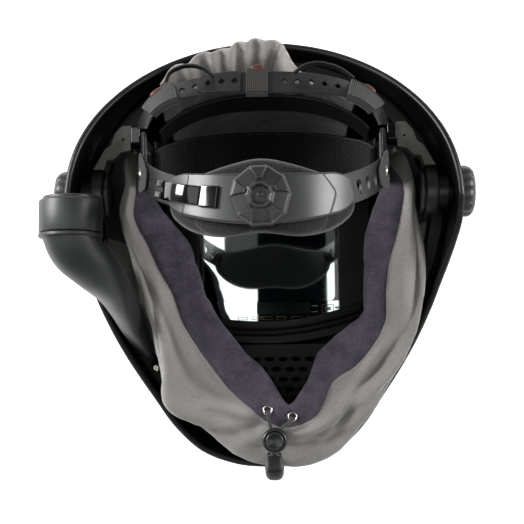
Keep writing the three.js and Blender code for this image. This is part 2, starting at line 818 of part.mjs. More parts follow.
function frontBandBody() {
  return bandStrap({
    from: SIDE_PLATE_FRONT_DEGREES - BUTT_DEGREES,
    to: -180 - SIDE_PLATE_FRONT_DEGREES + BUTT_DEGREES,
    count: 20,
    outset: 0,
    width: () => FRONT_BAND_WIDTH,
    thickness: BAND_THICKNESS,
  });
}

const SWEATBAND_OUTSET = -(SIDE_PLATE_THICKNESS + SWEATBAND_THICKNESS) / 2 - GAP;

function sweatbandWidth(share) {
  return lerp(SWEATBAND_END_WIDTH, SWEATBAND_WIDTH, Math.sin(Math.PI * share) ** 0.8);
}

function sweatbandBody() {
  return bandStrap({
    from: -SWEATBAND_START_DEGREES,
    to: SWEATBAND_START_DEGREES - 180,
    count: 20,
    outset: SWEATBAND_OUTSET,
    width: sweatbandWidth,
    thickness: SWEATBAND_THICKNESS,
  });
}

function rearBandBody() {
  const band = bandStrap({
    from: SIDE_PLATE_BACK_DEGREES + BUTT_DEGREES,
    to: 88,
    count: 10,
    outset: 0,
    width: () => BAND_WIDTH,
    thickness: BAND_THICKNESS,
  });
  const drop = [[2.2, 0], [1.2, 2.6], [-1.2, 2.6], [-2.2, 0], [0, -4.4]];
  const cutters = [26, 33, 40, 47].map((turn) => punchAt(drop, turn));
  return cut(band, cutters);
}

// A hole through the headband at a turn round it: the outline's Y runs up the band.
function punchAt(outline, turn) {
  const along = bandPoint(turn + 1, 0).sub(bandPoint(turn - 1, 0)).normalize();
  const up = vec(0, 1, 0).addScaledVector(along, -along.y).normalize();
  const cutter = prism(outline, 4 * BAND_THICKNESS).translate(0, 0, -2 * BAND_THICKNESS);
  return placed(cutter, bandPoint(turn, 0), along, up);
}

function snapTabBody() {
  return bandStrap({
    from: 12,
    to: 36,
    count: 4,
    outset: SIDE_PLATE_THICKNESS / 2 + GAP + 0.6,
    width: (share) => lerp(24, 11, share),
    thickness: 1.2,
  });
}

// Crown straps: the rear one leans back and the front one forward

function crownPath(degrees, rise, squareness, topZ, sideZ) {
  const angle = radians(degrees);
  const radius = squareRadius(angle, HEAD_HALF_WIDTH, rise, squareness);
  const z = lerp(sideZ, topZ, Math.sin(angle));
  return vec(radius * Math.cos(angle), CROWN_BASE_Y + radius * Math.sin(angle), z);
}

const REAR = { rise: CROWN_REAR_RISE, squareness: 3.3, topZ: CROWN_REAR_Z, sideZ: CROWN_REAR_Z - 8, lean: -42 };
const FRONT = { rise: CROWN_FRONT_RISE, squareness: 2.2, topZ: CROWN_FRONT_Z, sideZ: CROWN_FRONT_Z + 22, lean: 22 };

function crownAt(strapKind, degrees) {
  return crownPath(degrees, strapKind.rise, strapKind.squareness, strapKind.topZ, strapKind.sideZ);
}

function crownAcross(strapKind, degrees) {
  const out = vec(Math.cos(radians(degrees)), Math.sin(radians(degrees)), 0);
  const lean = radians(strapKind.lean) * Math.sin(radians(degrees));
  return vec(0, 0, Math.cos(lean)).addScaledVector(out, Math.sin(lean));
}

function crownStrap(strapKind, from, to, count, width, thickness) {
  const turns = steps(from, to, count);
  const points = turns.map((turn) => crownAt(strapKind, turn));
  const hints = turns.map((turn) => crownAcross(strapKind, turn));
  return strap(points, hints, turns.map(() => width), thickness);
}

function crownPunch(strapKind, degrees, outline) {
  const along = crownAt(strapKind, degrees + 1).sub(crownAt(strapKind, degrees - 1)).normalize();
  const hint = crownAcross(strapKind, degrees);
  const across = hint.addScaledVector(along, -hint.dot(along)).normalize();
  const depth = 5 * CROWN_STRAP_THICKNESS;
  return placed(prism(outline, depth).translate(0, 0, -depth / 2), crownAt(strapKind, degrees), along, across);
}

// The turn at which the strap passes over a place across the head.
function crownTurn(strapKind, x) {
  let turn = 90;
  for (let k = 0; k < 12; k += 1) {
    const slope = (crownAt(strapKind, turn + 0.5).x - crownAt(strapKind, turn - 0.5).x);
    turn -= (crownAt(strapKind, turn).x - x) / slope;
  }
  return turn;
}

function rearCrownBody(side) {
  const half = DIAMOND / 2;
  const diamond = [[half, 0], [0, half], [-half, 0], [0, -half]];
  const from = side > 0 ? CROWN_START_DEGREES : STRAP_BUTT_DEGREES + 1;
  const to = side > 0 ? STRAP_BUTT_DEGREES : 180 - CROWN_START_DEGREES;
  const body = crownStrap(REAR, from, to, 14, CROWN_STRAP_WIDTH, CROWN_STRAP_THICKNESS);
  const first = side > 0 ? 14 : 17;
  const cutters = [];
  for (let k = 0; k < 6; k += 1) {
    const x = side * (first + k * DIAMOND_PITCH);
    cutters.push(crownPunch(REAR, crownTurn(REAR, x), diamond));
  }
  return cut(body, cutters);
}

function frontCrownBody() {
  const from = CROWN_START_DEGREES + 4;
  const body = crownStrap(FRONT, from, 180 - from, 14, CROWN_STRAP_WIDTH, CROWN_STRAP_THICKNESS);
  const round = Array.from({ length: 6 }, (_, k) => {
    const angle = radians(k * 60);
    return [1.7 * Math.cos(angle), 1.7 * Math.sin(angle)];
  });
  const cutters = [];
  for (let k = -3; k <= 3; k += 1) {
    cutters.push(crownPunch(FRONT, crownTurn(FRONT, k * DIAMOND_PITCH * 1.3), round));
  }
  return cut(body, cutters);
}

// A ribbed sleeve slipped over a crown strap: a loop with a clear slot for the strap.
function sleeveBody(centre, halfTurn) {
  const slot = CROWN_STRAP_THICKNESS + 2 * GAP;
  const reach = CROWN_STRAP_WIDTH + 2 * GAP;
  const outer = crownStrap(REAR, centre - halfTurn, centre + halfTurn, 4, reach + 2 * SLEEVE_WALL, slot + 2 * SLEEVE_WALL);
  const inner = crownStrap(REAR, centre - 1.5 * halfTurn, centre + 1.5 * halfTurn, 6, reach, slot);
  return cut(outer, [inner]);
}

function halfSleeveTurn(centre) {
  const x = crownAt(REAR, centre).x;
  return Math.abs(crownTurn(REAR, x - SLEEVE_LENGTH / 2) - crownTurn(REAR, x + SLEEVE_LENGTH / 2)) / 2;
}

// Ratchet at the back of the headband

const HOUSING_OUTSET = BAND_THICKNESS / 2 + GAP + HOUSING_THICKNESS / 2;
const HOUSING_FACE = BAND_THICKNESS / 2 + GAP + HOUSING_THICKNESS;
const RATCHET_Y = BAND_SIDE_Y - BAND_BACK_FALL;

function roundedEnds(share, middle, end) {
  const near = Math.min(share, 1 - share);
  return near >= 0.16 ? lerp(middle - 4, middle, Math.sin(Math.PI * share)) : lerp(end, middle - 4, near / 0.16);
}

function housingBody() {
  const body = bandStrap({
    from: HOUSING_START_DEGREES,
    to: 180 - HOUSING_START_DEGREES,
    count: 18,
    outset: HOUSING_OUTSET,
    width: (share) => roundedEnds(share, HOUSING_WIDTH, 13),
    thickness: HOUSING_THICKNESS,
  });
  const depth = 3 * HOUSING_THICKNESS;
  const bore = new THREE.CylinderGeometry(RATCHET_SPINDLE + GAP, RATCHET_SPINDLE + GAP, depth, 12);
  bore.rotateX(Math.PI / 2).translate(0, RATCHET_Y, HEAD_BACK + depth / 2 + BAND_THICKNESS);
  return cut(body, [bore]);
}

function rearPadBody() {
  return bandStrap({
    from: PAD_START_DEGREES,
    to: 180 - PAD_START_DEGREES,
    count: 18,
    outset: -(BAND_THICKNESS + PAD_THICKNESS) / 2 - GAP,
    width: (share) => roundedEnds(share, PAD_WIDTH, 15),
    thickness: PAD_THICKNESS,
  });
}

function lugRing(radius, height) {
  const ring = [];
  const count = 4 * RATCHET_LUGS;
  for (let k = 0; k < count; k += 1) {
    const reach = [1, 0.985, 0.94, 0.985][k % 4];
    const angle = radians(93) + (2 * Math.PI * k) / count;
    ring.push(vec(radius * reach * Math.cos(angle), radius * reach * Math.sin(angle), height));
  }
  return ring;
}

const RATCHET_Z = HEAD_BACK + HOUSING_FACE + GAP;

function ratchetKnobBody() {
  const head = spindle([
    lugRing(RATCHET_RADIUS * 0.94, 0),
    lugRing(RATCHET_RADIUS, 1.5),
    lugRing(RATCHET_RADIUS, RATCHET_DEPTH * 0.6),
    lugRing(RATCHET_RADIUS * 0.86, RATCHET_DEPTH * 0.9),
    lugRing(RATCHET_RADIUS * 0.5, RATCHET_DEPTH),
    lugRing(RATCHET_RADIUS * 0.42, RATCHET_DEPTH - 1.5),
  ]);
  const length = HOUSING_THICKNESS - 1;
  const spindleShaft = new THREE.CylinderGeometry(RATCHET_SPINDLE, RATCHET_SPINDLE, length, 12);
  spindleShaft.rotateX(Math.PI / 2).translate(0, 0, 1 - length / 2);
  return joined([head, spindleShaft]).translate(0, RATCHET_Y, RATCHET_Z);
}

function bandClipBody() {
  const turns = steps(108, 129, 8);
  const points = turns.map((turn, k) => {
    const arch = 3.2 * Math.sin((Math.PI * k) / 8);
    return bandPoint(turn, HOUSING_FACE + GAP + 1.2 + arch);
  });
  return strap(points, turns.map(() => vec(0, 1, 0)), turns.map(() => 12), 2);
}

// Air duct: collar, hollow upper duct and the tongue that ends on the seal frame

const DUCT_START_Y = COLLAR_TOP_Y - COLLAR_LENGTH;

// Sections along the duct from the collar's foot to the tongue's end, as shares of its way inward,
// its reach toward the chin, its fall and its radius.
const DUCT = [
  { inward: 0.0, along: 0.0, fall: 0.0, wide: 1.0, deep: 1.0 },
  { inward: 0.08, along: 0.11, fall: 0.03, wide: 0.96, deep: 1.0 },
  { inward: 0.33, along: 0.26, fall: 0.16, wide: 0.82, deep: 1.0 },
  { inward: 0.58, along: 0.43, fall: 0.38, wide: 0.62, deep: 0.95 },
  { inward: 0.72, along: 0.6, fall: 0.57, wide: 0.52, deep: 0.72 },
  { inward: 0.8, along: 0.75, fall: 0.74, wide: 0.45, deep: 0.5 },
  { inward: 0.89, along: 0.88, fall: 0.88, wide: 0.36, deep: 0.34 },
  { inward: 1.0, along: 1.0, fall: 1.0, wide: 0.27, deep: 0.2 },
];
const DUCT_TIP = DUCT[DUCT.length - 1];
const DUCT_END_Y = DUCT_START_Y - GAP - DUCT_REACH;
const DUCT_END = restingOn(framePlace(DUCT_END_Y, 0.8), DUCT_TIP.deep * DUCT_RADIUS + GAP);

function ductSections(shrink, until) {
  const points = DUCT.map((row) => vec(
    lerp(COLLAR_X, DUCT_END.x, row.inward),
    lerp(DUCT_START_Y - GAP, DUCT_END.y, row.along),
    lerp(COLLAR_Z, DUCT_END.z, row.fall),
  ));
  return DUCT.slice(0, until).map((row, i) => {
    const before = points[Math.max(i - 1, 0)];
    const after = points[Math.min(i + 1, points.length - 1)];
    const along = i < 2 ? vec(0, -1, 0) : after.clone().sub(before).normalize();
    const across = vec(0, 0, 1).cross(along).normalize();
    const deep = along.clone().cross(across).normalize();
    return Array.from({ length: DUCT_SIDES }, (_, k) => {
      const angle = (2 * Math.PI * k) / DUCT_SIDES;
      return points[i].clone()
        .addScaledVector(across, (row.wide * DUCT_RADIUS - shrink) * Math.cos(angle))
        .addScaledVector(deep, (row.deep * DUCT_RADIUS - shrink) * Math.sin(angle));
    });
  });
}

function airDuctBody() {
  const outer = sectionBody(ductSections(0, DUCT.length), false);
  const inner = ductSections(DUCT_WALL, 5);
  const above = inner[0].map((point) => point.clone().add(vec(0, 3, 0)));
  return cut(outer, [sectionBody([above, ...inner], false)]);
}

function collarBody() {
  const inner = COLLAR_RADIUS - 2.4;
  const profile = [
    [COLLAR_BORE, 0],
    [COLLAR_RADIUS - 0.6, 0],
    [COLLAR_RADIUS, 1.5],
    [COLLAR_RADIUS, COLLAR_LENGTH - 3],
    [COLLAR_RADIUS - 0.8, COLLAR_LENGTH - 2],
    [inner, COLLAR_LENGTH - 2],
    [inner, COLLAR_LENGTH],
    [COLLAR_BORE, COLLAR_LENGTH],
    [COLLAR_BORE, 0],
  ];
  return turned(profile, 16).translate(COLLAR_X, DUCT_START_Y, COLLAR_Z);
}

function ductScrewBody() {
  const ball = new THREE.SphereGeometry(SCREW_RADIUS, 8, 6);
  const y = DUCT_END_Y - DUCT_TIP.wide * DUCT_RADIUS - SCREW_APART;
  const seat = restingOn(framePlace(y, 0.75), SCREW_RADIUS + GAP);
  return welded(ball).translate(seat.x, seat.y, seat.z);
}

// Face seal. Each row is a direction from the middle of the face opening, in degrees, with the
// reach and the drop of the fleece's free edge, the sewn seam and the cloth's outer crest.
const SEAL = [
  { turn: 40, edge: 0.667, seam: 0.867, crest: 0.942, edgeDrop: 0.04, seamDrop: 0.05, crestDrop: 0.11 },
  { turn: 30, edge: 0.533, seam: 0.733, crest: 0.842, edgeDrop: 0.03, seamDrop: 0.01, crestDrop: 0.0 },
  { turn: 15, edge: 0.475, seam: 0.596, crest: 0.79, edgeDrop: 0.08, seamDrop: 0.07, crestDrop: 0.0 },
  { turn: 0, edge: 0.458, seam: 0.558, crest: 0.76, edgeDrop: 0.16, seamDrop: 0.15, crestDrop: 0.05 },
  { turn: -15, edge: 0.467, seam: 0.575, crest: 0.75, edgeDrop: 0.2, seamDrop: 0.19, crestDrop: 0.11 },
  { turn: -30, edge: 0.408, seam: 0.567, crest: 0.758, edgeDrop: 0.27, seamDrop: 0.25, crestDrop: 0.27 },
  { turn: -45, edge: 0.383, seam: 0.558, crest: 0.775, edgeDrop: 0.37, seamDrop: 0.35, crestDrop: 0.4 },
  { turn: -60, edge: 0.4, seam: 0.55, crest: 0.833, edgeDrop: 0.45, seamDrop: 0.44, crestDrop: 0.61 },
  { turn: -75, edge: 0.525, seam: 0.692, crest: 0.915, edgeDrop: 0.56, seamDrop: 0.56, crestDrop: 0.81 },
  { turn: -88, edge: 0.625, seam: 0.733, crest: 0.965, edgeDrop: 0.61, seamDrop: 0.61, crestDrop: 0.88 },
  { turn: -98, edge: 0.5, seam: 0.7, crest: 0.96, edgeDrop: 0.59, seamDrop: 0.61, crestDrop: 0.87 },
  { turn: -106, edge: 0.433, seam: 0.65, crest: 0.94, edgeDrop: 0.56, seamDrop: 0.57, crestDrop: 0.84 },
  { turn: -120, edge: 0.4, seam: 0.592, crest: 0.87, edgeDrop: 0.49, seamDrop: 0.51, crestDrop: 0.73 },
  { turn: -135, edge: 0.371, seam: 0.55, crest: 0.875, edgeDrop: 0.4, seamDrop: 0.41, crestDrop: 0.51 },
  { turn: -150, edge: 0.375, seam: 0.542, crest: 0.775, edgeDrop: 0.29, seamDrop: 0.29, crestDrop: 0.29 },
  { turn: -165, edge: 0.392, seam: 0.558, crest: 0.72, edgeDrop: 0.21, seamDrop: 0.2, crestDrop: 0.16 },
  { turn: -180, edge: 0.425, seam: 0.583, crest: 0.745, edgeDrop: 0.13, seamDrop: 0.12, crestDrop: 0.04 },
  { turn: -190, edge: 0.45, seam: 0.654, crest: 0.795, edgeDrop: 0.08, seamDrop: 0.07, crestDrop: 0.0 },
  { turn: -200, edge: 0.504, seam: 0.758, crest: 0.885, edgeDrop: 0.04, seamDrop: 0.03, crestDrop: 0.0 },
  { turn: -208, edge: 0.583, seam: 0.885, crest: 0.98, edgeDrop: 0.02, seamDrop: 0.01, crestDrop: 0.03 },
  { turn: -214, edge: 0.767, seam: 0.94, crest: 1.015, edgeDrop: 0.05, seamDrop: 0.05, crestDrop: 0.08 },
];

// The seal's way over the forehead, just outside the front band, from left to right.
const FOREHEAD_TURNS = [-170, -152, -132, -111, -90, -69, -48, -28, -10];
const FOREHEAD = { edge: 4.5, seam: 7.5, crest: 15, root: 19 };
const FOREHEAD_LOW_Y = 9;
const FOREHEAD_HIGH_Y = 42;
const FOREHEAD_SEAM_UP = 6;
const FOREHEAD_CREST_UP = 15;
const PANEL_BULGE = 3;
const LIP_BACK = 4.5;
const LIP_UNDER = 7;

function sealRay(turn, reach, drop) {
  const angle = radians(turn);
  const radius = reach * SEAL_REACH;
  return vec(SEAL_X + radius * Math.cos(angle), SEAL_Y + radius * Math.sin(angle), -drop * SEAL_DROP);
}

// The seal frame's inner edge in a direction from the middle of the opening.
function frameEdgeAt(turn) {
  const way = (((turn % 360) + 360) % 360);
  const found = [];
  for (let i = 0; i < SHELL_AROUND; i += 1) {
    const point = sealFrameEdge(i, FRAME_INSET + FRAME_WIDTH + 2 * GAP + CLOTH);
    const angle = THREE.MathUtils.radToDeg(Math.atan2(point.y - SEAL_Y, point.x - SEAL_X));
    const apart = Math.abs(((angle - way + 540) % 360) - 180);
    found.push({ point, apart });
  }
  found.sort((first, second) => first.apart - second.apart);
  const [near, next] = found;
  return near.point.clone().lerp(next.point, near.apart / (near.apart + next.apart));
}

function sealStations() {
  const middle = vec(SEAL_X, SEAL_Y, 0);
  const stations = SEAL.map((row) => {
    const crest = sealRay(row.turn, row.crest, row.crestDrop);
    const seam = sealRay(row.turn, row.seam, row.seamDrop);
    const edge = sealRay(row.turn, row.edge, row.edgeDrop);
    const root = frameEdgeAt(row.turn);
    const inside = crest.clone().setZ(0).distanceTo(middle) < root.clone().setZ(0).distanceTo(middle);
    const hip = root.clone().lerp(crest, inside ? 0.9 : 0.55);
    hip.z = lerp(root.z, crest.z, inside ? 0.25 : 0.55);
    const panel = crest.clone().lerp(seam, 0.45).add(vec(0, 0, PANEL_BULGE));
    const back = sealRay(row.turn, row.edge + LIP_BACK / SEAL_REACH, row.edgeDrop + LIP_UNDER / SEAL_DROP);
    return { root, hip, crest, panel, seam, edge, back };
  });
  for (const turn of FOREHEAD_TURNS) {
    const low = lerp(FOREHEAD_LOW_Y, FOREHEAD_HIGH_Y, Math.sin(radians(-turn)));
    const at = (outset, up) => bandPoint(turn, outset, low + up);
    const root = at(FOREHEAD.root, FOREHEAD_CREST_UP + 4);
    const crest = at(FOREHEAD.crest, FOREHEAD_CREST_UP);
    const seam = at(FOREHEAD.seam, FOREHEAD_SEAM_UP);
    const edge = at(FOREHEAD.edge, 0);
    const hip = root.clone().lerp(crest, 0.5);
    const panel = crest.clone().lerp(seam, 0.45);
    const back = at(FOREHEAD.edge + LIP_BACK, -LIP_BACK);
    stations.push({ root, hip, crest, panel, seam, edge, back });
  }
  return stations;
}

function faceSealBody() {
  const grid = sealStations().map(({ root, hip, crest, panel, seam }) => [root, hip, crest, panel, seam]);
  return wall(grid, CLOTH / 2, -CLOTH / 2, true);
}

function fleeceBody() {
  const grid = sealStations().map(({ seam, edge, back }) => {
    const inward = edge.clone().sub(seam).normalize();
    const start = seam.clone().addScaledVector(inward, SEAM_GAP);
    return [start, start.clone().lerp(edge, 0.5), edge, back];
  });
  return wall(grid, FLEECE / 2, -FLEECE / 2, true);
}

// Head cover: cloth that rises from the forehead band to a gathered crest over the crown's rim.
// Rows run across the head: place across, and the height of the crest, as shares.
const COVER = [
  { across: -1.0, crest: 0.8 },
  { across: -0.85, crest: 0.92 },
  { across: -0.7, crest: 0.96 },
  { across: -0.55, crest: 1.02 },
  { across: -0.4, crest: 1.03 },
  { across: -0.25, crest: 1.08 },
  { across: 0.0, crest: 1.1 },
  { across: 0.2, crest: 1.05 },
  { across: 0.3, crest: 0.93 },
  { across: 0.42, crest: 0.82 },
  { across: 0.68, crest: 0.74 },
  { across: 0.9, crest: 0.66 },
];
const COVER_TOP_Z = 7;
const COVER_SHOULDER_Z = -4;
const COVER_OVER_STRAP = 6.5;

function headCoverBody() {
  const grid = COVER.map((row) => {
    const x = row.across * COVER_HALF;
    const turn = -THREE.MathUtils.radToDeg(Math.acos(x / HEAD_HALF_WIDTH));
    const share = (-turn - SWEATBAND_START_DEGREES) / (180 - 2 * SWEATBAND_START_DEGREES);
    const foot = bandPoint(turn, SWEATBAND_OUTSET);
    foot.y += sweatbandWidth(share) / 2 + COVER_CLOTH / 2 + 2 * GAP;
    const crest = vec(x, row.crest * COVER_CREST, COVER_TOP_Z);
    const strapTop = crownAt(FRONT, crownTurn(FRONT, x));
    const high = vec(x, strapTop.y + COVER_OVER_STRAP, strapTop.z + CROWN_STRAP_WIDTH / 2);
    const low = foot.clone().lerp(high, 0.45);
    low.y += 2;
    const shoulder = vec(x, Math.max(row.crest * COVER_CREST * 0.9, high.y + 1), COVER_SHOULDER_Z);
    return [foot, low, high, shoulder, crest];
  });
  return wall(grid, COVER_CLOTH / 2, -COVER_CLOTH / 2, false);
}

// Draw cord: two strands from the grommets to a lock that lies on the cloth, and an end piece

const LOCK_PLACE = { turn: -93.5, reach: 0.8087, drop: 0.6 };
const LOCK_AT = sealRay(LOCK_PLACE.turn, LOCK_PLACE.reach, LOCK_PLACE.drop);
const GROMMETS_FROM_LOCK = { left: vec(-4.6, 20, 3), right: vec(12, 15.5, 3) };
const CORD_ROUTES_FROM_LOCK = {
  left: [
    vec(-4.6, 19.6, 5.3),
    vec(-4.3, 17, 5.8),
    vec(-3.8, 13.4, 5),
    vec(-3.1, 10, 3.2),
    vec(-2.4, 6.6, 2.25),
    vec(-2.1, 3, 2.25),
    vec(-1.9, -1, 2.25),
    vec(-1.9, -4.5, 2.25),
    vec(-1.9, -7.6, 2.2),
    vec(-1.9, -9.6, 0.9),
    vec(-1.9, -10.7, -1.4),
    vec(-1.9, -11.3, -3.8),
  ],
  right: [
    vec(11.9, 15.1, 5.3),
    vec(10.8, 13, 5.8),
    vec(8.2, 10.5, 5),
    vec(5.2, 8.4, 3.2),
    vec(2.9, 6.3, 2.25),
    vec(1.8, 3, 2.25),
    vec(1.1, -1, 2.25),
    vec(1.1, -4.5, 2.25),
    vec(1.1, -7.6, 2.2),
    vec(1.1, -9.6, 0.9),
    vec(1.1, -10.7, -1.4),
    vec(1.1, -11.3, -3.8),
  ],
};
const fromLock = (point) => point.clone().add(LOCK_AT);

function grommetBody(at) {
  const profile = [
    [GROMMET_BORE, 0],
    [GROMMET_RADIUS, 0],
    [GROMMET_RADIUS - 0.5, GROMMET_HEIGHT],
    [GROMMET_BORE + 0.4, GROMMET_HEIGHT],
    [GROMMET_BORE, 0],
  ];
  return turned(profile, 12).rotateX(Math.PI / 2).translate(at.x, at.y, at.z);
}

function cordBody(route) {
  const path = new THREE.CatmullRomCurve3(route);
  const section = new THREE.Shape();
  for (let k = 0; k < 8; k += 1) {
    const angle = (2 * Math.PI * k) / 8;
    const x = CORD_RADIUS * Math.cos(angle);
    const y = CORD_RADIUS * Math.sin(angle);
    if (k === 0) {
      section.moveTo(x, y);
    } else {
      section.lineTo(x, y);
    }
  }
  return new THREE.ExtrudeGeometry(section, { steps: 12, extrudePath: path, bevelEnabled: false });
}

function roundRing(radius, height, sides) {
  return Array.from({ length: sides }, (_, k) => {
    const angle = (2 * Math.PI * k) / sides;
    return vec(radius * Math.cos(angle), radius * Math.sin(angle), height);
  });
}

// The cords run through a channel low in the lock. The button starts inside the pocket above it,
// clear of the pocket's floor by the stroke.
const CHANNEL_HEIGHT = 2 * (CORD_RADIUS + GAP);
const CHANNEL_WIDTH = 4 * CORD_RADIUS + 4;
const POCKET_FLOOR = LOCK_FLOOR + CHANNEL_HEIGHT + LOCK_FLOOR;
const BUTTON_FOOT = POCKET_FLOOR + BUTTON_STROKE + GAP;

function cordLockBody() {
  const pocket = BUTTON_RADIUS + GAP;
  const profile = [
    [0, 0],
    [LOCK_RADIUS - LOCK_EDGE, 0],
    [LOCK_RADIUS, LOCK_EDGE],
    [LOCK_RADIUS, LOCK_HEIGHT - LOCK_EDGE],
    [LOCK_RADIUS - LOCK_EDGE, LOCK_HEIGHT],
    [pocket, LOCK_HEIGHT],
    [pocket, POCKET_FLOOR],
    [0, POCKET_FLOOR],
  ];
  const body = turned(profile, LOCK_SIDES).rotateX(Math.PI / 2);
  const channel = new THREE.BoxGeometry(CHANNEL_WIDTH, 3 * LOCK_RADIUS, CHANNEL_HEIGHT);
  channel.translate(0, 0, LOCK_FLOOR + CHANNEL_HEIGHT / 2);
  return cut(body, [channel]).translate(LOCK_AT.x, LOCK_AT.y, LOCK_AT.z);
}

function lockButtonBody() {
  const body = spindle([
    roundRing(BUTTON_RADIUS, 0, LOCK_SIDES),
    roundRing(BUTTON_RADIUS, BUTTON_HEIGHT - BUTTON_EDGE, LOCK_SIDES),
    roundRing(BUTTON_RADIUS - BUTTON_EDGE, BUTTON_HEIGHT, LOCK_SIDES),
  ]);
  return body.translate(LOCK_AT.x, LOCK_AT.y, LOCK_AT.z + BUTTON_FOOT);
}

// The end piece lies on the cloth below the lock. Rows run from the cords to its round tip: the
// centre line from the lock's foot as shares of its reach and fall, half width and half depth of its
// greatest ones.
const END_PIECE = [
  { along: 0.45, fall: 0.3, wide: 0.68, deep: 0.55 },
  { along: 0.54, fall: 0.42, wide: 0.85, deep: 0.85 },
  { along: 0.72, fall: 0.68, wide: 0.93, deep: 1.0 },
  { along: 0.92, fall: 0.92, wide: 1.0, deep: 1.0 },
  { along: 1.0, fall: 1.0, wide: 0.64, deep: 0.57 },
];

function cordEndBody() {
  const lean = Math.atan2(END_FALL, END_REACH);
  const sections = END_PIECE.map((row) => Array.from({ length: 12 }, (_, k) => {
    const angle = (2 * Math.PI * k) / 12;
    const up = row.deep * END_HALF_DEPTH * Math.sin(angle);
    return vec(
      LOCK_AT.x - END_ASIDE + row.wide * END_HALF_WIDTH * Math.cos(angle),
      LOCK_AT.y - row.along * END_REACH - up * Math.sin(lean),
      LOCK_AT.z - row.fall * END_FALL + up * Math.cos(lean),
    );
  }));
  return sectionBody(sections, false);
}

// The helmet

const FINISH = {
  shell: { color: "#1a1a1a", roughness: 0.45, metalness: 0 },
  dark: { color: "#232323", roughness: 0.5, metalness: 0 },
  lens: { color: "#10161a", roughness: 0.05, metalness: 0 },
  cover: { color: "#c8d2d4", roughness: 0.05, metalness: 0 },
  duct: { color: "#3b3d3d", roughness: 0.45, metalness: 0 },
  arm: { color: "#4a4a48", roughness: 0.7, metalness: 0 },
  strap: { color: "#3a3a38", roughness: 0.5, metalness: 0 },
  ratchet: { color: "#4d504e", roughness: 0.35, metalness: 0 },
  knob: { color: "#474747", roughness: 0.5, metalness: 0 },
  gloss: { color: "#141414", roughness: 0.12, metalness: 0 },
  twill: { color: "#95938e", roughness: 0.95, metalness: 0 },
  cloth: { color: "#b5b0ac", roughness: 0.95, metalness: 0 },
  fleece: { color: "#544d5f", roughness: 1, metalness: 0 },
  mesh: { color: "#141412", roughness: 0.95, metalness: 0 },
  rib: { color: "#3e3c38", roughness: 0.9, metalness: 0 },
  metal: { color: "#b9b7b0", roughness: 0.25, metalness: 1 },
  cord: { color: "#2b2b2b", roughness: 0.85, metalness: 0 },
};

const helmet = new THREE.Group();
const cordPieces = new Set(["draw_cord_left", "draw_cord_right", "cord_lock", "cord_lock_button", "cord_end"]);

function add(name, geometry, finish) {
  const mesh = new THREE.Mesh(outward(welded(geometry)), new THREE.MeshStandardMaterial(FINISH[finish]));
  mesh.name = name;
  helmet.add(mesh);
}

function addPair(name, geometry, finish) {
  add(`${name}_right`, geometry, finish);
  add(`${name}_left`, mirrored(geometry), finish);
}

add("shell", shellBody(), "shell");
add("lens_bezel", bezelBody(), "dark");
add("outer_cover_lens", outerCoverBody(), "cover");
add("filter_cartridge", cartridgeBody(), "dark");
add("filter_glass", glassBody(), "lens");
add("control_panel", panelBody(), "gloss");
add("inner_cover_lens", innerCoverBody(), "cover");
add("cartridge_frame", holdingFrameBody(), "dark");
add("chin_grille", grilleBody(), "duct");
add("seal_frame", sealFrameBody(), "dark");

addPair("hub", hubBody(), "arm");
addPair("pivot_knob", pivotKnobBody(), "knob");
addPair("arm", armBody(), "arm");
addPair("slide_block", slideBlockBody(), "gloss");
addPair("side_plate", sidePlateBody(), "strap");
addPair("rear_band", rearBandBody(), "strap");
addPair("snap_tab", snapTabBody(), "rib");
add("front_band", frontBandBody(), "strap");
add("sweatband", sweatbandBody(), "mesh");

add("crown_strap_rear_right", rearCrownBody(1), "strap");
add("crown_strap_rear_left", rearCrownBody(-1), "strap");
add("crown_strap_front", frontCrownBody(), "strap");
const sleeveCentre = crownTurn(REAR, -3);
const sleeveSide = crownTurn(REAR, HEAD_HALF_WIDTH * 0.82);
add("crown_sleeve", sleeveBody(sleeveCentre, halfSleeveTurn(sleeveCentre)), "rib");
add("sleeve_right", sleeveBody(sleeveSide, 5), "rib");
add("sleeve_left", sleeveBody(180 - sleeveSide, 5), "rib");

add("ratchet_housing", housingBody(), "ratchet");
add("ratchet_knob", ratchetKnobBody(), "knob");
add("rear_pad", rearPadBody(), "mesh");
add("band_clip", bandClipBody(), "gloss");

add("air_duct", airDuctBody(), "duct");
add("inlet_collar", collarBody(), "duct");
add("duct_screw", ductScrewBody(), "metal");

add("face_seal", faceSealBody(), "twill");
add("fleece_edge", fleeceBody(), "fleece");
add("head_cover", headCoverBody(), "cloth");

for (const side of ["left", "right"]) {
  add(`grommet_${side}`, grommetBody(fromLock(GROMMETS_FROM_LOCK[side])), "metal");
  add(`draw_cord_${side}`, cordBody(CORD_ROUTES_FROM_LOCK[side].map(fromLock)), "cord");
}
add("cord_lock", cordLockBody(), "gloss");
add("cord_lock_button", lockButtonBody(), "gloss");
add("cord_end", cordEndBody(), "gloss");

// The origin is under the middle of the helmet, on the surface that it lies on.
const bounds = new THREE.Box3();
for (const piece of helmet.children) {
  if (!cordPieces.has(piece.name)) {
    bounds.expandByObject(piece);
  }
}
const middle = bounds.getCenter(new THREE.Vector3());
helmet.position.set(-middle.x, -middle.y, -bounds.min.z);

export default helmet;
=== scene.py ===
"""Powered respirator welding helmet, lying face down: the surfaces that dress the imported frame."""
import math

import bmesh
import bpy
import numpy as np
from mathutils import Matrix, Vector


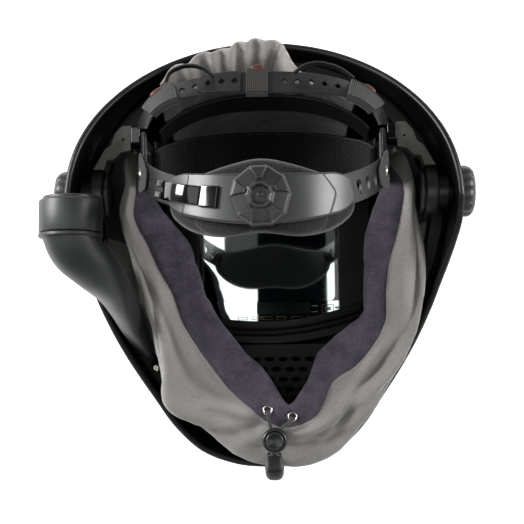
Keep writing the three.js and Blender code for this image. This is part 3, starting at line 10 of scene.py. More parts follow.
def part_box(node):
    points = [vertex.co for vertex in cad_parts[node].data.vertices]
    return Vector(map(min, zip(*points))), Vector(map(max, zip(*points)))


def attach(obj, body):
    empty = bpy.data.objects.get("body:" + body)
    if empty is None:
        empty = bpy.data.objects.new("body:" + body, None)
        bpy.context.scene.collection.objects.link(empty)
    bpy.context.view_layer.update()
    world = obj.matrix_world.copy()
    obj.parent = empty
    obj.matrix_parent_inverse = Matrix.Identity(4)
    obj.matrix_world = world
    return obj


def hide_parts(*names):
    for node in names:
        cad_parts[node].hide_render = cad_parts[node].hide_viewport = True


bl_info = {
    "name": "Respirator Welding Helmet",
    "version": (1, 0, 0),
    "blender": (4, 5, 0),
    "location": "3D View > Sidebar > Helmet",
    "description": "Dresses the packed frame of a powered respirator welding helmet",
    "category": "Object",
}

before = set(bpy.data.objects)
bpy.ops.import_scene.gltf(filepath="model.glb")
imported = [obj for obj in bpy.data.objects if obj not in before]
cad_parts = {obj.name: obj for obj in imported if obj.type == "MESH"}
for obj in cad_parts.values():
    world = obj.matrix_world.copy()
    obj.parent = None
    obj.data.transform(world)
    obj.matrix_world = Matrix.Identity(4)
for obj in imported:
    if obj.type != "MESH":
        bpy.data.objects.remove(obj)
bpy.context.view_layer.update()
MM = 0.001

PIVOT_Y = 3.0


def axis_place():
    """Where the helmet's own coordinates start, in millimetres: between the two pivot knobs."""
    corners = [corner for side in ("right", "left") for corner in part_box("pivot_knob_" + side)]
    return np.mean(corners, axis=0) / MM - np.array([0.0, PIVOT_Y, 0.0])


AXIS = axis_place()

# Shell
SHELL_HALF_WIDTH = 123.0
CROWN_REACH = 111.0
CHIN_REACH = 180.0
WIDEST_Y = -6.0
SHELL_WALL = 2.5
FACE_HALF_WIDTH = 67.0
FACE_HALF_HEIGHT = 70.0
FACE_SQUARENESS = 3.2
FACE_Y = -25.0
FACE_Z = -155.0
SHELL_DEPTH = 195.0
RIM_TOP = 30.0
RIM_CHIN_DROP = 122.0
RIM_CROWN_DROP = 42.0
PLACES_AROUND = 48
FRAME_DROP = 16.0
FRAME_BELOW_PIVOT = 26.0
FRAME_WIDTH = 9.0
FRAME_INSET = 3.4

# The jaw below the widest line, from the side to the chin, as shares of half width and chin reach.
JAW_WIDE = [1.0, 0.993, 0.972, 0.944, 0.91, 0.866, 0.806, 0.729, 0.638, 0.539, 0.395, 0.2, 0.0]
JAW_DOWN = [0.0, 0.066, 0.131, 0.202, 0.273, 0.366, 0.47, 0.579, 0.694, 0.814, 0.926, 0.986, 1.0]

# How far each height has spread from the face's outline to the full one.
SPREAD = {
    "up": [0.0, 0.006, 0.087, 0.205, 0.359, 0.538, 0.795, 1.0],
    "crown": [0.0, 0.22, 0.42, 0.6, 0.78, 0.9, 0.985, 1.0],
    "side": [0.0, 0.22, 0.5, 0.72, 0.87, 0.95, 0.99, 1.0],
    "chin": [0.0, 0.25, 0.5, 0.78, 0.91, 0.96, 0.99, 1.0],
}
RIM_TO_CHIN = {
    "along": [0.0, 0.098, 0.197, 0.295, 0.508, 0.732, 0.951, 1.03],
    "fall": [0.016, 0.082, 0.205, 0.311, 0.541, 0.77, 0.967, 1.0],
}
RIM_TO_CROWN = {
    "along": [0.182, 0.327, 0.527, 0.7, 0.864, 1.04],
    "fall": [0.0, 0.05, 0.25, 0.5, 0.75, 1.0],
}

# Headband
HEAD_HALF_WIDTH = 77.5
HEAD_BACK = 100.0
HEAD_FRONT = 95.0
BAND_SIDE_Y = 24.0
BAND_BACK_FALL = 39.0
BAND_FRONT_RISE = 16.0


def smooth(knots, values, where, limited=False):
    """Values between the rows of a table, along a smooth curve. A limited curve never overshoots its rows."""
    knots = np.asarray(knots, float)
    values = np.asarray(values, float)
    single = values.ndim == 1
    if single:
        values = values[:, None]
    steps = np.diff(knots)
    rises = np.diff(values, axis=0) / steps[:, None]
    slopes = np.empty_like(values)
    slopes[0] = rises[0]
    slopes[-1] = rises[-1]
    before = steps[:-1, None]
    after = steps[1:, None]
    slopes[1:-1] = (rises[:-1] * after + rises[1:] * before) / (before + after)
    if limited:
        cap = 3 * np.minimum(np.abs(rises[:-1]), np.abs(rises[1:]))
        inner = np.clip(slopes[1:-1], -cap, cap)
        inner[rises[:-1] * rises[1:] <= 0] = 0
        slopes[1:-1] = inner
    where = np.clip(np.asarray(where, float), knots[0], knots[-1])
    cell = np.clip(np.searchsorted(knots, where, side="right") - 1, 0, len(steps) - 1)
    share = ((where - knots[cell]) / steps[cell])[:, None]
    width = steps[cell][:, None]
    found = (
        (1 + 2 * share) * (1 - share) ** 2 * values[cell]
        + share * (1 - share) ** 2 * width * slopes[cell]
        + share**2 * (3 - 2 * share) * values[cell + 1]
        + share**2 * (share - 1) * width * slopes[cell + 1]
    )
    return found[:, 0] if single else found


def smooth_loop(knots, values, period, where):
    """The same round a closed row of places."""
    knots = np.asarray(knots, float)
    values = np.asarray(values, float)
    far = np.concatenate([knots[-3:] - period, knots, knots[:3] + period])
    around = np.concatenate([values[-3:], values, values[:3]])
    return smooth(far, around, where)


def unit(rows):
    """Each row as a way of length 1."""
    return rows / np.maximum(np.linalg.norm(rows, axis=-1, keepdims=True), 1e-9)


def lengths_along(points):
    """How far along a line each of its places is."""
    return np.concatenate([[0], np.cumsum(np.linalg.norm(np.diff(points, axis=0), axis=1))])


def bearings(count):
    """Even angles round a circle."""
    return np.linspace(0, 2 * math.pi, count, endpoint=False)


def resampled(points, count, loop=False):
    """Even places along a smooth curve through the points."""
    points = np.asarray(points, float)
    if loop:
        points = np.concatenate([points, points[:1]])
    lengths = lengths_along(points)
    where = np.linspace(0, lengths[-1], count + 1 if loop else count)
    if loop:
        return smooth_loop(lengths[:-1], points[:-1], lengths[-1], where)[:-1]
    return smooth(lengths, points, where)


def ease(low, high, value):
    """0 below low, 1 above high, and a smooth rise between them."""
    share = np.clip((value - low) / (high - low), 0, 1)
    return share * share * (3 - 2 * share)


def waves(places, seed, size, octaves=3):
    """Smooth seeded unevenness over an array of places, about -1 to 1, in lumps of the given size."""
    random = np.random.default_rng(seed)
    total = np.zeros(places.shape[:-1])
    weight = 0.0
    for octave in range(octaves):
        for _ in range(6):
            way = random.normal(size=places.shape[-1])
            way /= np.linalg.norm(way)
            pitch = size / 2**octave * random.uniform(0.8, 1.25)
            phase = random.uniform(0, 2 * math.pi)
            total += 0.5**octave * np.sin(places @ way * (2 * math.pi / pitch) + phase)
        weight += 0.5**octave
    return total / (weight * 2.6)


def hex_colour(text):
    """An sRGB colour such as #8f8d88 as linear values."""
    shares = [int(text[k:k + 2], 16) / 255 for k in (1, 3, 5)]
    linear = [v / 12.92 if v <= 0.04045 else ((v + 0.055) / 1.055) ** 2.4 for v in shares]
    return (*linear, 1.0)


def put(tree, kind, settings=None, inputs=None):
    """Adds a node to a tree, with its settings, and its inputs as values or links."""
    made = tree.nodes.new(kind)
    for key, value in (settings or {}).items():
        setattr(made, key, value)
    for key, value in (inputs or {}).items():
        if isinstance(value, bpy.types.NodeSocket):
            tree.links.new(value, made.inputs[key])
        else:
            made.inputs[key].default_value = value
    return made


def new_material(name, colour, roughness, **inputs):
    """A material with a Principled shader: its tree, its shader and the material."""
    material = bpy.data.materials.new(name)
    material.use_nodes = True
    tree = material.node_tree
    tree.nodes.clear()
    shader = put(tree, "ShaderNodeBsdfPrincipled", None, {
        "Base Color": hex_colour(colour), "Roughness": roughness,
    })
    for key, value in inputs.items():
        shader.inputs[key.replace("_", " ")].default_value = value
    put(tree, "ShaderNodeOutputMaterial", None, {"Surface": shader.outputs[0]})
    material.diffuse_color = hex_colour(colour)
    return material, tree, shader


def noise(tree, size, detail, place=None, **more):
    """Noise in lumps of a size in mm, over the piece's own place unless another is given."""
    if place is None:
        place = put(tree, "ShaderNodeTexCoord").outputs["Object"]
    inputs = {"Vector": place, "Scale": 1 / (size * MM), "Detail": detail, **more}
    return put(tree, "ShaderNodeTexNoise", None, inputs).outputs["Fac"]


def ranged(tree, value, low, high, to_low=0.0, to_high=1.0):
    """A value moved from one range to another."""
    return put(tree, "ShaderNodeMapRange", None, {
        "Value": value, "From Min": low, "From Max": high, "To Min": to_low, "To Max": to_high,
    }).outputs[0]


def blended(tree, share, one, other):
    """The colour at a share between two."""
    return put(tree, "ShaderNodeMix", {"data_type": "RGBA"}, {
        "Factor": share, "A": hex_colour(one), "B": hex_colour(other),
    }).outputs["Result"]


def maths(tree, operation, *values):
    """One sum on values or links."""
    return put(tree, "ShaderNodeMath", {"operation": operation}, dict(enumerate(values))).outputs[0]


def bumped(tree, shader, height, strength, depth):
    """Tilts a shader's surface by a height of the given depth in mm."""
    bump = put(tree, "ShaderNodeBump", None, {"Height": height, "Strength": strength, "Distance": depth * MM})
    tree.links.new(bump.outputs[0], shader.inputs["Normal"])


def moulded(name, colour, roughness, grain, depth, wear, worn, coat=0.0):
    """Injection moulded plastic: spark eroded grain of the given size in mm, rubbed brighter on its edges."""
    material, tree, shader = new_material(name, colour, roughness, Coat_Weight=coat)
    bumped(tree, shader, noise(tree, grain, 3.0), 0.5, depth)
    rough = ranged(tree, noise(tree, 45, 4.0), 0.3, 0.7, roughness - 0.05, roughness + 0.07)
    tree.links.new(rough, shader.inputs["Roughness"])
    edge = ranged(tree, put(tree, "ShaderNodeNewGeometry").outputs["Pointiness"], 0.52, 0.62, 0.0, worn)
    tree.links.new(blended(tree, edge, colour, wear), shader.inputs["Base Color"])
    return material


def woven(name, light, dark, pitch):
    """Cotton twill on the piece's own map in metres: diagonal ribs, drawn coarser than the real 0.6 mm."""
    material, tree, shader = new_material(name, light, 0.92, Sheen_Weight=0.25, Sheen_Roughness=0.5)
    place = put(tree, "ShaderNodeUVMap", {"uv_map": "cut"}).outputs[0]
    rows = put(tree, "ShaderNodeTexWave", {"bands_direction": "DIAGONAL"}, {
        "Vector": place, "Scale": 0.72 / (pitch * MM), "Distortion": 0.6, "Detail": 1.0, "Detail Scale": 2.0,
    })
    across = put(tree, "ShaderNodeTexWave", {"bands_direction": "X"}, {
        "Vector": place, "Scale": 0.5 / (pitch * 0.62 * MM), "Distortion": 0.4,
    })
    weave = maths(tree, "MULTIPLY", rows.outputs["Fac"], across.outputs["Fac"])
    shade = maths(tree, "MULTIPLY_ADD", noise(tree, 1.7, 3.0, place), 0.8, weave)
    cloth = blended(tree, ranged(tree, shade, 0.25, 1.15, 0.0, 0.95), light, dark)
    worn = ranged(tree, noise(tree, 28, 5.0), 0.35, 0.65, 0.93, 1.05)
    toned = put(tree, "ShaderNodeHueSaturation", None, {"Color": cloth, "Value": worn})
    tree.links.new(toned.outputs[0], shader.inputs["Base Color"])
    bumped(tree, shader, shade, 0.7, 0.35)
    return material


def fleece_pile(name, deep, tip):
    """Brushed polyester fleece: short matted fibres with a soft sheen and paler tips."""
    material, tree, shader = new_material(name, "#3f3a45", 1.0, Sheen_Weight=0.15, Sheen_Roughness=0.6)
    shader.inputs["Sheen Tint"].default_value = hex_colour("#a79fb3")
    tufts = noise(tree, 1.1, 4.0, Roughness=0.75, Distortion=0.8)
    tone = maths(tree, "MULTIPLY_ADD", noise(tree, 9, 3.0), 0.6, tufts)
    tree.links.new(blended(tree, ranged(tree, tone, 0.55, 1.05), deep, tip), shader.inputs["Base Color"])
    bumped(tree, shader, tone, 0.9, 1.3)
    return material


def knitted_mesh(name, thread, hole, pitch):
    """Knitted spacer mesh: rows of small open eyes in dark yarn, at the given pitch in mm."""
    material, tree, shader = new_material(name, thread, 0.95, Sheen_Weight=0.2)
    place = put(tree, "ShaderNodeTexCoord").outputs["Object"]
    eyes = put(tree, "ShaderNodeTexVoronoi", None, {
        "Vector": place, "Scale": 1 / (pitch * MM), "Randomness": 0.35,
    })
    share = ranged(tree, eyes.outputs["Distance"], 0.2, 0.5)
    tree.links.new(blended(tree, share, hole, thread), shader.inputs["Base Color"])
    bumped(tree, shader, share, 0.8, 0.5)
    return material


def plated(name, colour, roughness):
    """Nickel plated steel: bright metal with faint buffing marks."""
    material, tree, shader = new_material(name, colour, roughness, Metallic=1.0)
    rough = ranged(tree, noise(tree, 0.8, 4.0), 0.0, 1.0, roughness - 0.08, roughness + 0.12)
    tree.links.new(rough, shader.inputs["Roughness"])
    return material


def clear_sheet(name, ior):
    """Clear polished sheet: seen through, with more gloss the flatter it is seen."""
    material = bpy.data.materials.new(name)
    material.use_nodes = True
    tree = material.node_tree
    tree.nodes.clear()
    gloss = put(tree, "ShaderNodeBsdfGlossy", None, {
        "Roughness": ranged(tree, noise(tree, 30, 4.0), 0.0, 1.0, 0.0, 0.04),
    })
    through = put(tree, "ShaderNodeBsdfTransparent", None, {"Color": hex_colour("#f2f5f4")})
    share = put(tree, "ShaderNodeFresnel", None, {"IOR": ior})
    both = put(tree, "ShaderNodeMixShader", None, {
        0: share.outputs[0], 1: through.outputs[0], 2: gloss.outputs[0],
    })
    put(tree, "ShaderNodeOutputMaterial", None, {"Surface": both.outputs[0]})
    return material


def mirrored_glass(name, colour):
    """Glass with a heat reflecting coat, which makes it a mirror, with faint smears."""
    material, tree, shader = new_material(name, colour, 0.02, Metallic=1.0)
    tree.links.new(ranged(tree, noise(tree, 35, 3.0), 0.0, 1.0, 0.0, 0.05), shader.inputs["Roughness"])
    return material


def braided(name, colour, tip):
    """Braided elastic cord: strands about 1 mm apart that cross on the piece's own map."""
    material, tree, shader = new_material(name, colour, 0.8, Sheen_Weight=0.3)
    place = put(tree, "ShaderNodeUVMap", {"uv_map": "cut"}).outputs[0]
    other = put(tree, "ShaderNodeMapping", None, {"Vector": place, "Scale": (1.0, -1.0, 1.0)}).outputs[0]
    rise, fall = (
        put(tree, "ShaderNodeTexWave", {"bands_direction": "DIAGONAL"}, {
            "Vector": way, "Scale": 0.5 / (1.1 * MM),
        })
        for way in (place, other)
    )
    both = maths(tree, "MULTIPLY", rise.outputs["Fac"], fall.outputs["Fac"])
    tree.links.new(blended(tree, both, colour, tip), shader.inputs["Base Color"])
    bumped(tree, shader, both, 0.6, 0.2)
    return material


MADE = {}


def finish(name):
    """One of the helmet's finishes, made the first time it is asked for."""
    if name not in MADE:
        maker, *values = FINISHES[name]
        MADE[name] = maker(*values)
    return MADE[name]


# Each finish is its maker, its name and the maker's values. The comment says what it gives the eye.
# A moulded one has its colour, roughness, grain and depth in mm, then the colour and share of its edges.
FINISHES = {
    # Deep black with a soft, wide glow where the walls turn to the light
    "shell": (moulded, "satin_shell_nylon", "#080808", 0.42, 0.6, 0.03, "#2a2a2a", 0.15),
    # The same black, a little drier, so that the frames part from the shell
    "black": (moulded, "satin_black_plastic", "#0b0b0b", 0.46, 0.5, 0.02, "#363636", 0.2),
    # Dark grey without shine, so that its holes read as black
    "grille": (moulded, "satin_grille_plastic", "#222323", 0.5, 0.5, 0.02, "#4a4a4a", 0.2),
    # Cool grey with one long soft highlight down the tube
    "duct": (moulded, "satin_duct_plastic", "#292b2b", 0.42, 0.5, 0.015, "#4a4c4c", 0.15),
    # A fine texture that scatters the light to an even mid grey
    "arm": (moulded, "textured_arm_plastic", "#50504c", 0.62, 0.45, 0.07, "#5a5a56", 0.2),
    # Smooth black with narrow highlights and pale rubbed rims
    "hub": (moulded, "satin_hub_plastic", "#1c1c1c", 0.36, 0.4, 0.015, "#7a7a76", 0.4),
    # Black that shines softly along its curves
    "strap": (moulded, "satin_strap_plastic", "#1b1b1a", 0.46, 0.6, 0.02, "#66665f", 0.25),
    # Smooth green grey with clear, short highlights
    "ratchet": (moulded, "smooth_ratchet_plastic", "#2f3230", 0.34, 0.5, 0.01, "#6d706e", 0.2),
    # Dark grey whose rubbed lugs stand out
    "knob": (moulded, "satin_knob_plastic", "#262626", 0.42, 0.5, 0.015, "#7c7c7c", 0.35),
    # Nearly black, with sharp white reflections under a clear coat
    "gloss": (moulded, "polished_plastic", "#060606", 0.1, 0.6, 0.002, "#2c2c2c", 0.1, 0.3),
    # Polished dark grey with a bright ring on each rim
    "lock": (moulded, "polished_lock_plastic", "#1a1c1d", 0.24, 0.5, 0.006, "#4c4e4e", 0.25),
    # Red brown, a warm dot beside each sleeve
    "oval": (moulded, "brown_loop_plastic", "#4a241d", 0.4, 0.4, 0.01, "#8a5b4c", 0.3),
    # Mid grey cloth whose ribs and slubs break up the light
    "twill": (woven, "grey_seal_twill", "#93918e", "#65635f", 1.3),
    # The same cloth, paler over the crown
    "cover": (woven, "pale_cover_twill", "#9f9c9a", "#74716f", 1.3),
    # Dark grey tape that outlines the pad
    "binding": (woven, "grey_binding_tape", "#4a4946", "#33322f", 1.2),
    # Dull and dark: painted shade laid where the cloth lies in shadow, which sets off the pale cloth
    "lining": (woven, "dark_lining_twill", "#4a4845", "#302e2c", 1.3),
    # Purple grey pile, pale at its tips and dark between its tufts
    "fleece": (fleece_pile, "brushed_fleece", "#2a272f", "#57525d"),
    # Black yarn with open eyes that swallow the light
    "mesh": (knitted_mesh, "knitted_black_mesh", "#0f0f0e", "#040404", 1.7),
    # The same, a little paler and finer
    "pad": (knitted_mesh, "knitted_pad_mesh", "#1d1d1c", "#0a0a0a", 1.2),
    # Brown black tape with a dull sheen on each rib
    "rib": (woven, "ribbed_woven_tape", "#242220", "#11100f", 1.0),
    # Warm bright metal with blurred reflections
    "metal": (plated, "nickel_plated_steel", "#c5c2ba", 0.2),
    # Nearly black, with paler strands that cross
    "cord": (braided, "braided_cord", "#202020", "#5c5a57"),
    # Seen only by its reflections and a faint haze
    "clear": (clear_sheet, "clear_polycarbonate", 1.58),
    # A mirror that shows the dark card and the pale room above
    "filter": (mirrored_glass, "coated_filter_glass", "#f4f6f6"),
    # Pale dots along the seam
    "thread": (moulded, "seam_thread", "#7d7b78", 0.8, 0.3, 0.02, "#7a7771", 0.1),
    # Black glass, duller than the mirror round it
    "display": (moulded, "liquid_crystal_display", "#0d1214", 0.12, 0.5, 0.001, "#11181b", 0.1),
    # Small pale marks, thin amber outlines and a green block, all flat and dull as screen print is
    "print": (moulded, "pale_panel_print", "#c9c9c4", 0.5, 0.3, 0.001, "#d8d8d4", 0.1),
    "outline": (moulded, "amber_panel_print", "#b98d5f", 0.5, 0.3, 0.001, "#c59a6c", 0.1),
    "readout": (moulded, "green_panel_print", "#8fae74", 0.5, 0.3, 0.001, "#9cba82", 0.1),
}


def grid_faces(rows, columns, loop=False, ring=False, ends=False):
    """Quads over a grid: loop joins its last row to the first, ring its columns, ends closes its end rows."""
    faces = []
    for i in range(rows if loop else rows - 1):
        for j in range(columns if ring else columns - 1):
            over = (i + 1) % rows
            side = (j + 1) % columns
            faces.append((i * columns + j, over * columns + j, over * columns + side, i * columns + side))
    if ends:
        faces.append(tuple(range(columns)))
        faces.append(tuple((rows - 1) * columns + j for j in range(columns)))
    return faces


def grid_normals(grid, loop=False):
    """The direction out of a grid of points at each of them."""
    if loop:
        along = np.roll(grid, -1, axis=0) - np.roll(grid, 1, axis=0)
    else:
        along = np.gradient(grid, axis=0)
    across = np.gradient(grid, axis=1)
    normal = np.cross(along, across)
    return normal / np.maximum(np.linalg.norm(normal, axis=2, keepdims=True), 1e-9)


def facing(grid, sample, loop=False):
    """The ways out of a grid, turned so that they point up the axis of the sample at its places."""
    normals = grid_normals(grid, loop)
    return -normals if np.mean(normals[sample]) < 0 else normals


def spanned(lines, knots, count):
    """A finer grid across a few lines that run side by side."""
    flat = lines.transpose(1, 0, 2).reshape(lines.shape[1], -1)
    fine = smooth(knots, flat, np.linspace(0, 1, count))
    return fine.reshape(count, lines.shape[0], 3).transpose(1, 0, 2)


def shown(name, data):
    """A new object in the scene."""
    made = bpy.data.objects.new(name, data)
    bpy.context.scene.collection.objects.link(made)
    return made


def build(name, points, faces, material, cut=None, flat=False):
    """A mesh piece from places in the helmet's own millimetres, with its map in metres where it has one."""
    mesh = bpy.data.meshes.new(name)
    mesh.from_pydata(((np.asarray(points, float).reshape(-1, 3) + AXIS) * MM).tolist(), [], faces)
    if cut is not None:
        layer = mesh.uv_layers.new(name="cut")
        corners = np.empty(len(mesh.loops), int)
        mesh.loops.foreach_get("vertex_index", corners)
        layer.data.foreach_set("uv", (np.asarray(cut, float).reshape(-1, 2)[corners] * MM).ravel())
    mesh.polygons.foreach_set("use_smooth", [not flat] * len(mesh.polygons))
    mesh.materials.append(material)
    return shown(name, mesh)


def outward(piece):
    """Turns a closed piece's faces outwards."""
    body = bmesh.new()
    body.from_mesh(piece.data)
    bmesh.ops.remove_doubles(body, verts=body.verts, dist=1e-7)
    bmesh.ops.recalc_face_normals(body, faces=body.faces)
    body.to_mesh(piece.data)
    body.free()
    return piece


def wall(name, grid, outer, inner, material, loop=False):
    """A sheet of real thickness on a grid of points, with rounded free edges."""
    normals = grid_normals(grid, loop)
    middle = (outer + inner) / 2
    bulge = abs(outer - inner) / 2 * 0.7
    start = grid[:, :1] + normals[:, :1] * middle - unit(grid[:, 1:2] - grid[:, :1]) * bulge
    end = grid[:, -1:] + normals[:, -1:] * middle + unit(grid[:, -1:] - grid[:, -2:-1]) * bulge
    section = np.concatenate([start, grid + normals * outer, end, (grid + normals * inner)[:, ::-1]], axis=1)
    rows, columns = section.shape[:2]
    faces = grid_faces(rows, columns, loop, True, not loop)
    along = lengths_along(grid[:, grid.shape[1] // 2])
    steps = np.linalg.norm(np.diff(grid, axis=1), axis=2)
    across = np.concatenate([np.zeros((grid.shape[0], 1)), np.cumsum(steps, axis=1)], axis=1)
    widths = np.concatenate([across[:, :1], across, across[:, -1:], across[:, ::-1]], axis=1)
    cut = np.stack([np.repeat(along[:, None], columns, axis=1), widths], axis=2)
    return outward(build(name, section, faces, material, cut))


def paint_shade_on(piece, shape, chosen, material):
    """Gives the chosen cells of a sheet another finish on both faces: a darker cloth that paints shade there."""
    rows, columns = shape[:2]
    piece.data.materials.append(material)
    ring = np.concatenate([chosen[:, :1], chosen, chosen[:, -1:], chosen[:, ::-1]], axis=1)
    picked = ring.reshape(-1)
    wide = 2 * columns + 2
    for face in piece.data.polygons:
        corner = min(face.vertices)
        if corner // wide < rows and picked[corner]:
            face.material_index = 1


def turned(name, profile, sides, origin, axis, material):
    """A round piece: its profile as radius and height rows, turned about an axis through a place."""
    rows = np.asarray(profile, float)
    axis = np.asarray(axis, float)
    side = np.cross(axis, [0, 0, 1]) if abs(axis[2]) < 0.9 else np.array([1.0, 0, 0])
    side = side - axis * (side @ axis)
    side /= np.linalg.norm(side)
    angles = bearings(sides)
    ring = np.cos(angles)[:, None] * side + np.sin(angles)[:, None] * np.cross(axis, side)
    points = np.asarray(origin, float) + rows[None, :, :1] * ring[:, None, :] + rows[None, :, 1:] * axis
    return outward(build(name, points, grid_faces(sides, len(rows), True), material))


def declared(piece, body, slot, *nodes):
    """Puts a piece on its body and hides the nodes that it stands for; slot, the name of its finish, is not used.
    """
    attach(piece, body)
    if nodes:
        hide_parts(*nodes)
    return piece


def rounded(piece, width, segments=3, angle=32):
    """Rounded edges on a hard piece, smooth between them."""
    piece.data.set_sharp_from_angle(angle=math.radians(angle))
    bevel = piece.modifiers.new("Edges", "BEVEL")
    bevel.width = width * MM
    bevel.segments = segments
    bevel.limit_method = "ANGLE"
    bevel.angle_limit = math.radians(angle)
    bevel.harden_normals = True
    return piece


def from_node(node, name, width, material):
    """A piece with the shape of a CAD node, its flat faces merged and its edges rounded."""
    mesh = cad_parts[node].data.copy()
    mesh.name = name
    body = bmesh.new()
    body.from_mesh(mesh)
    bmesh.ops.remove_doubles(body, verts=body.verts, dist=1e-6)
    bmesh.ops.dissolve_limit(body, angle_limit=math.radians(1.5), verts=body.verts, edges=body.edges)
    body.to_mesh(mesh)
    body.free()
    mesh.materials.clear()
    mesh.materials.append(material)
    mesh.polygons.foreach_set("use_smooth", [True] * len(mesh.polygons))
    return rounded(shown(name, mesh), width)


def dress(node, material):
    """Gives a CAD node that stays its finish."""
    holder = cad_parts[node]
    if not holder.material_slots:
        holder.data.materials.append(material)
    for slot in holder.material_slots:
        slot.link = "OBJECT"
        slot.material = material


def in_millimetres(node):
    """A CAD node's lowest and highest corner in the helmet's own millimetres."""
    low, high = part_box(node)
    return np.array(low) / MM - AXIS, np.array(high) / MM - AXIS


def row_tree(name, material):
    """Geometry nodes that lay a row of bars along a line: pitch, length and thickness are its inputs.

    Each bar points the way that is stored on the line's points, so the same tree sews stitches and lays ribs.
    """
    tree = bpy.data.node_groups.new(name, "GeometryNodeTree")
    tree.interface.new_socket(name="Line", in_out="INPUT", socket_type="NodeSocketGeometry")
    sizes = {}
    for label, value in (("Pitch", 2.8 * MM), ("Length", 2.0 * MM), ("Thickness", 0.28 * MM)):
        sizes[label] = tree.interface.new_socket(name=label, in_out="INPUT", socket_type="NodeSocketFloat")
        sizes[label].default_value = value
    tree.interface.new_socket(name="Bars", in_out="OUTPUT", socket_type="NodeSocketGeometry")
    given = put(tree, "NodeGroupInput")
    line = put(tree, "GeometryNodeMeshToCurve", None, {"Mesh": given.outputs["Line"]})
    even = put(tree, "GeometryNodeResampleCurve", {"mode": "LENGTH"}, {
        "Curve": line.outputs[0], "Length": given.outputs["Pitch"],
    })
    way = put(tree, "GeometryNodeInputNamedAttribute", {"data_type": "FLOAT_VECTOR"}, {"Name": "way"})
    turn = put(tree, "FunctionNodeAlignRotationToVector", {"axis": "Z"}, {"Vector": way.outputs[0]})
    bar = put(tree, "GeometryNodeMeshCylinder", None, {
        "Vertices": 6, "Radius": given.outputs["Thickness"], "Depth": given.outputs["Length"],
    })
    placed = put(tree, "GeometryNodeInstanceOnPoints", None, {
        "Points": even.outputs[0], "Instance": bar.outputs["Mesh"], "Rotation": turn.outputs[0],
    })
    real = put(tree, "GeometryNodeRealizeInstances", None, {"Geometry": placed.outputs[0]})
    finished = put(tree, "GeometryNodeSetMaterial", None, {"Geometry": real.outputs[0], "Material": material})
    put(tree, "NodeGroupOutput", None, {"Bars": finished.outputs[0]})
    return tree, sizes


def grown(name, points, ways, loop, row, values, material):
    """Runs a row tree on a line of points and keeps the plain mesh that it makes."""
    tree, sizes = row
    count = len(points)
    mesh = bpy.data.meshes.new(name + "_line")
    edges = [(k, (k + 1) % count) for k in range(count if loop else count - 1)]
    mesh.from_pydata(((np.asarray(points, float) + AXIS) * MM).tolist(), edges, [])
    stored = mesh.attributes.new("way", "FLOAT_VECTOR", "POINT")
    stored.data.foreach_set("vector", np.asarray(ways, float).ravel())
    line = shown(name + "_line", mesh)
    modifier = line.modifiers.new("Grown", "NODES")
    modifier.node_group = tree
    for label, value in values.items():
        modifier[sizes[label].identifier] = value * MM
    made = baked(line, name)
    bpy.data.objects.remove(line)
    made.materials.clear()
    made.materials.append(material)
    return shown(name, made)


def baked(holder, name):
    """The plain mesh that an object's modifiers make."""
    bpy.context.view_layer.update()
    made = bpy.data.meshes.new_from_object(holder.evaluated_get(bpy.context.evaluated_depsgraph_get()))
    made.name = name
    return made


# Strips along a line

EDGE_SHARES = np.array([0.0, 0.0015, 0.004, 0.009])

def band_line(start, stop, y=None, mirrored=False):
    """A line on the headband's ellipse between two bearings, with the way across it."""
    def line(share):
        degrees = stop + (start - stop) * share if mirrored else start + (stop - start) * share
        points = band_points(degrees, 0.0, y)
        if mirrored:
            points[:, 0] *= -1
        return points, np.tile([0.0, 1.0, 0.0], (len(share), 1))
    return line


CROWN_BASE_Y = 20.0
CROWN = {
    "rear": {"rise": 49.0, "squareness": 3.3, "top_z": 30.0, "side_z": 22.0, "lean": -60.0},
    "front": {"rise": 52.0, "squareness": 2.2, "top_z": -40.0, "side_z": -18.0, "lean": 22.0},
}


def crown_points(kind, degrees):
    """Places on a line over the head: its right foot is at 0 degrees and its left one at 180."""
    row = CROWN[kind]
    angle = np.radians(degrees)
    wide = (np.abs(np.cos(angle)) / HEAD_HALF_WIDTH) ** row["squareness"]
    tall = (np.abs(np.sin(angle)) / row["rise"]) ** row["squareness"]
    radius = (wide + tall) ** (-1 / row["squareness"])
    z = row["side_z"] + (row["top_z"] - row["side_z"]) * np.sin(angle)
    return np.stack([radius * np.cos(angle), CROWN_BASE_Y + radius * np.sin(angle), z], axis=1)


def crown_line(kind, start, stop):
    """A line over the head between two bearings, with the way across it, which leans toward the crown."""
    def line(share):
        degrees = start + (stop - start) * share
        points = crown_points(kind, degrees)
        out = unit(np.cross([0.0, 0.0, 1.0], crown_points(kind, degrees - 0.2) - points))
        lean = np.radians(CROWN[kind]["lean"]) * np.sin(np.radians(degrees)) ** 0.7
        return points, np.array([0.0, 0.0, 1.0]) * np.cos(lean)[:, None] + out * np.sin(lean)[:, None]
    return line


def line_frame(points, hints):
    """The ways along, across and out at each place of a line."""
    along = unit(np.gradient(points, axis=0))
    across = unit(hints - along * np.sum(hints * along, axis=1, keepdims=True))
    return along, across, np.cross(across, along)


def place_on(line, share):
    """One place on a line, with its ways along, across and out."""
    points, hints = line(np.array([share - 0.002, share, share + 0.002]))
    along, across, out = line_frame(points, hints)
    return points[1], along[1], across[1], out[1]


def share_at(line, x):
    """Where on a line its place has this x."""
    shares = np.linspace(0, 1, 801)
    found = line(shares)[0][:, 0]
    return float(shares[np.argmin(np.abs(found - x))])


def part_of(line, start, stop):
    """The stretch of a line between two shares of it."""
    return lambda share: line(start + (stop - start) * np.asarray(share, float))


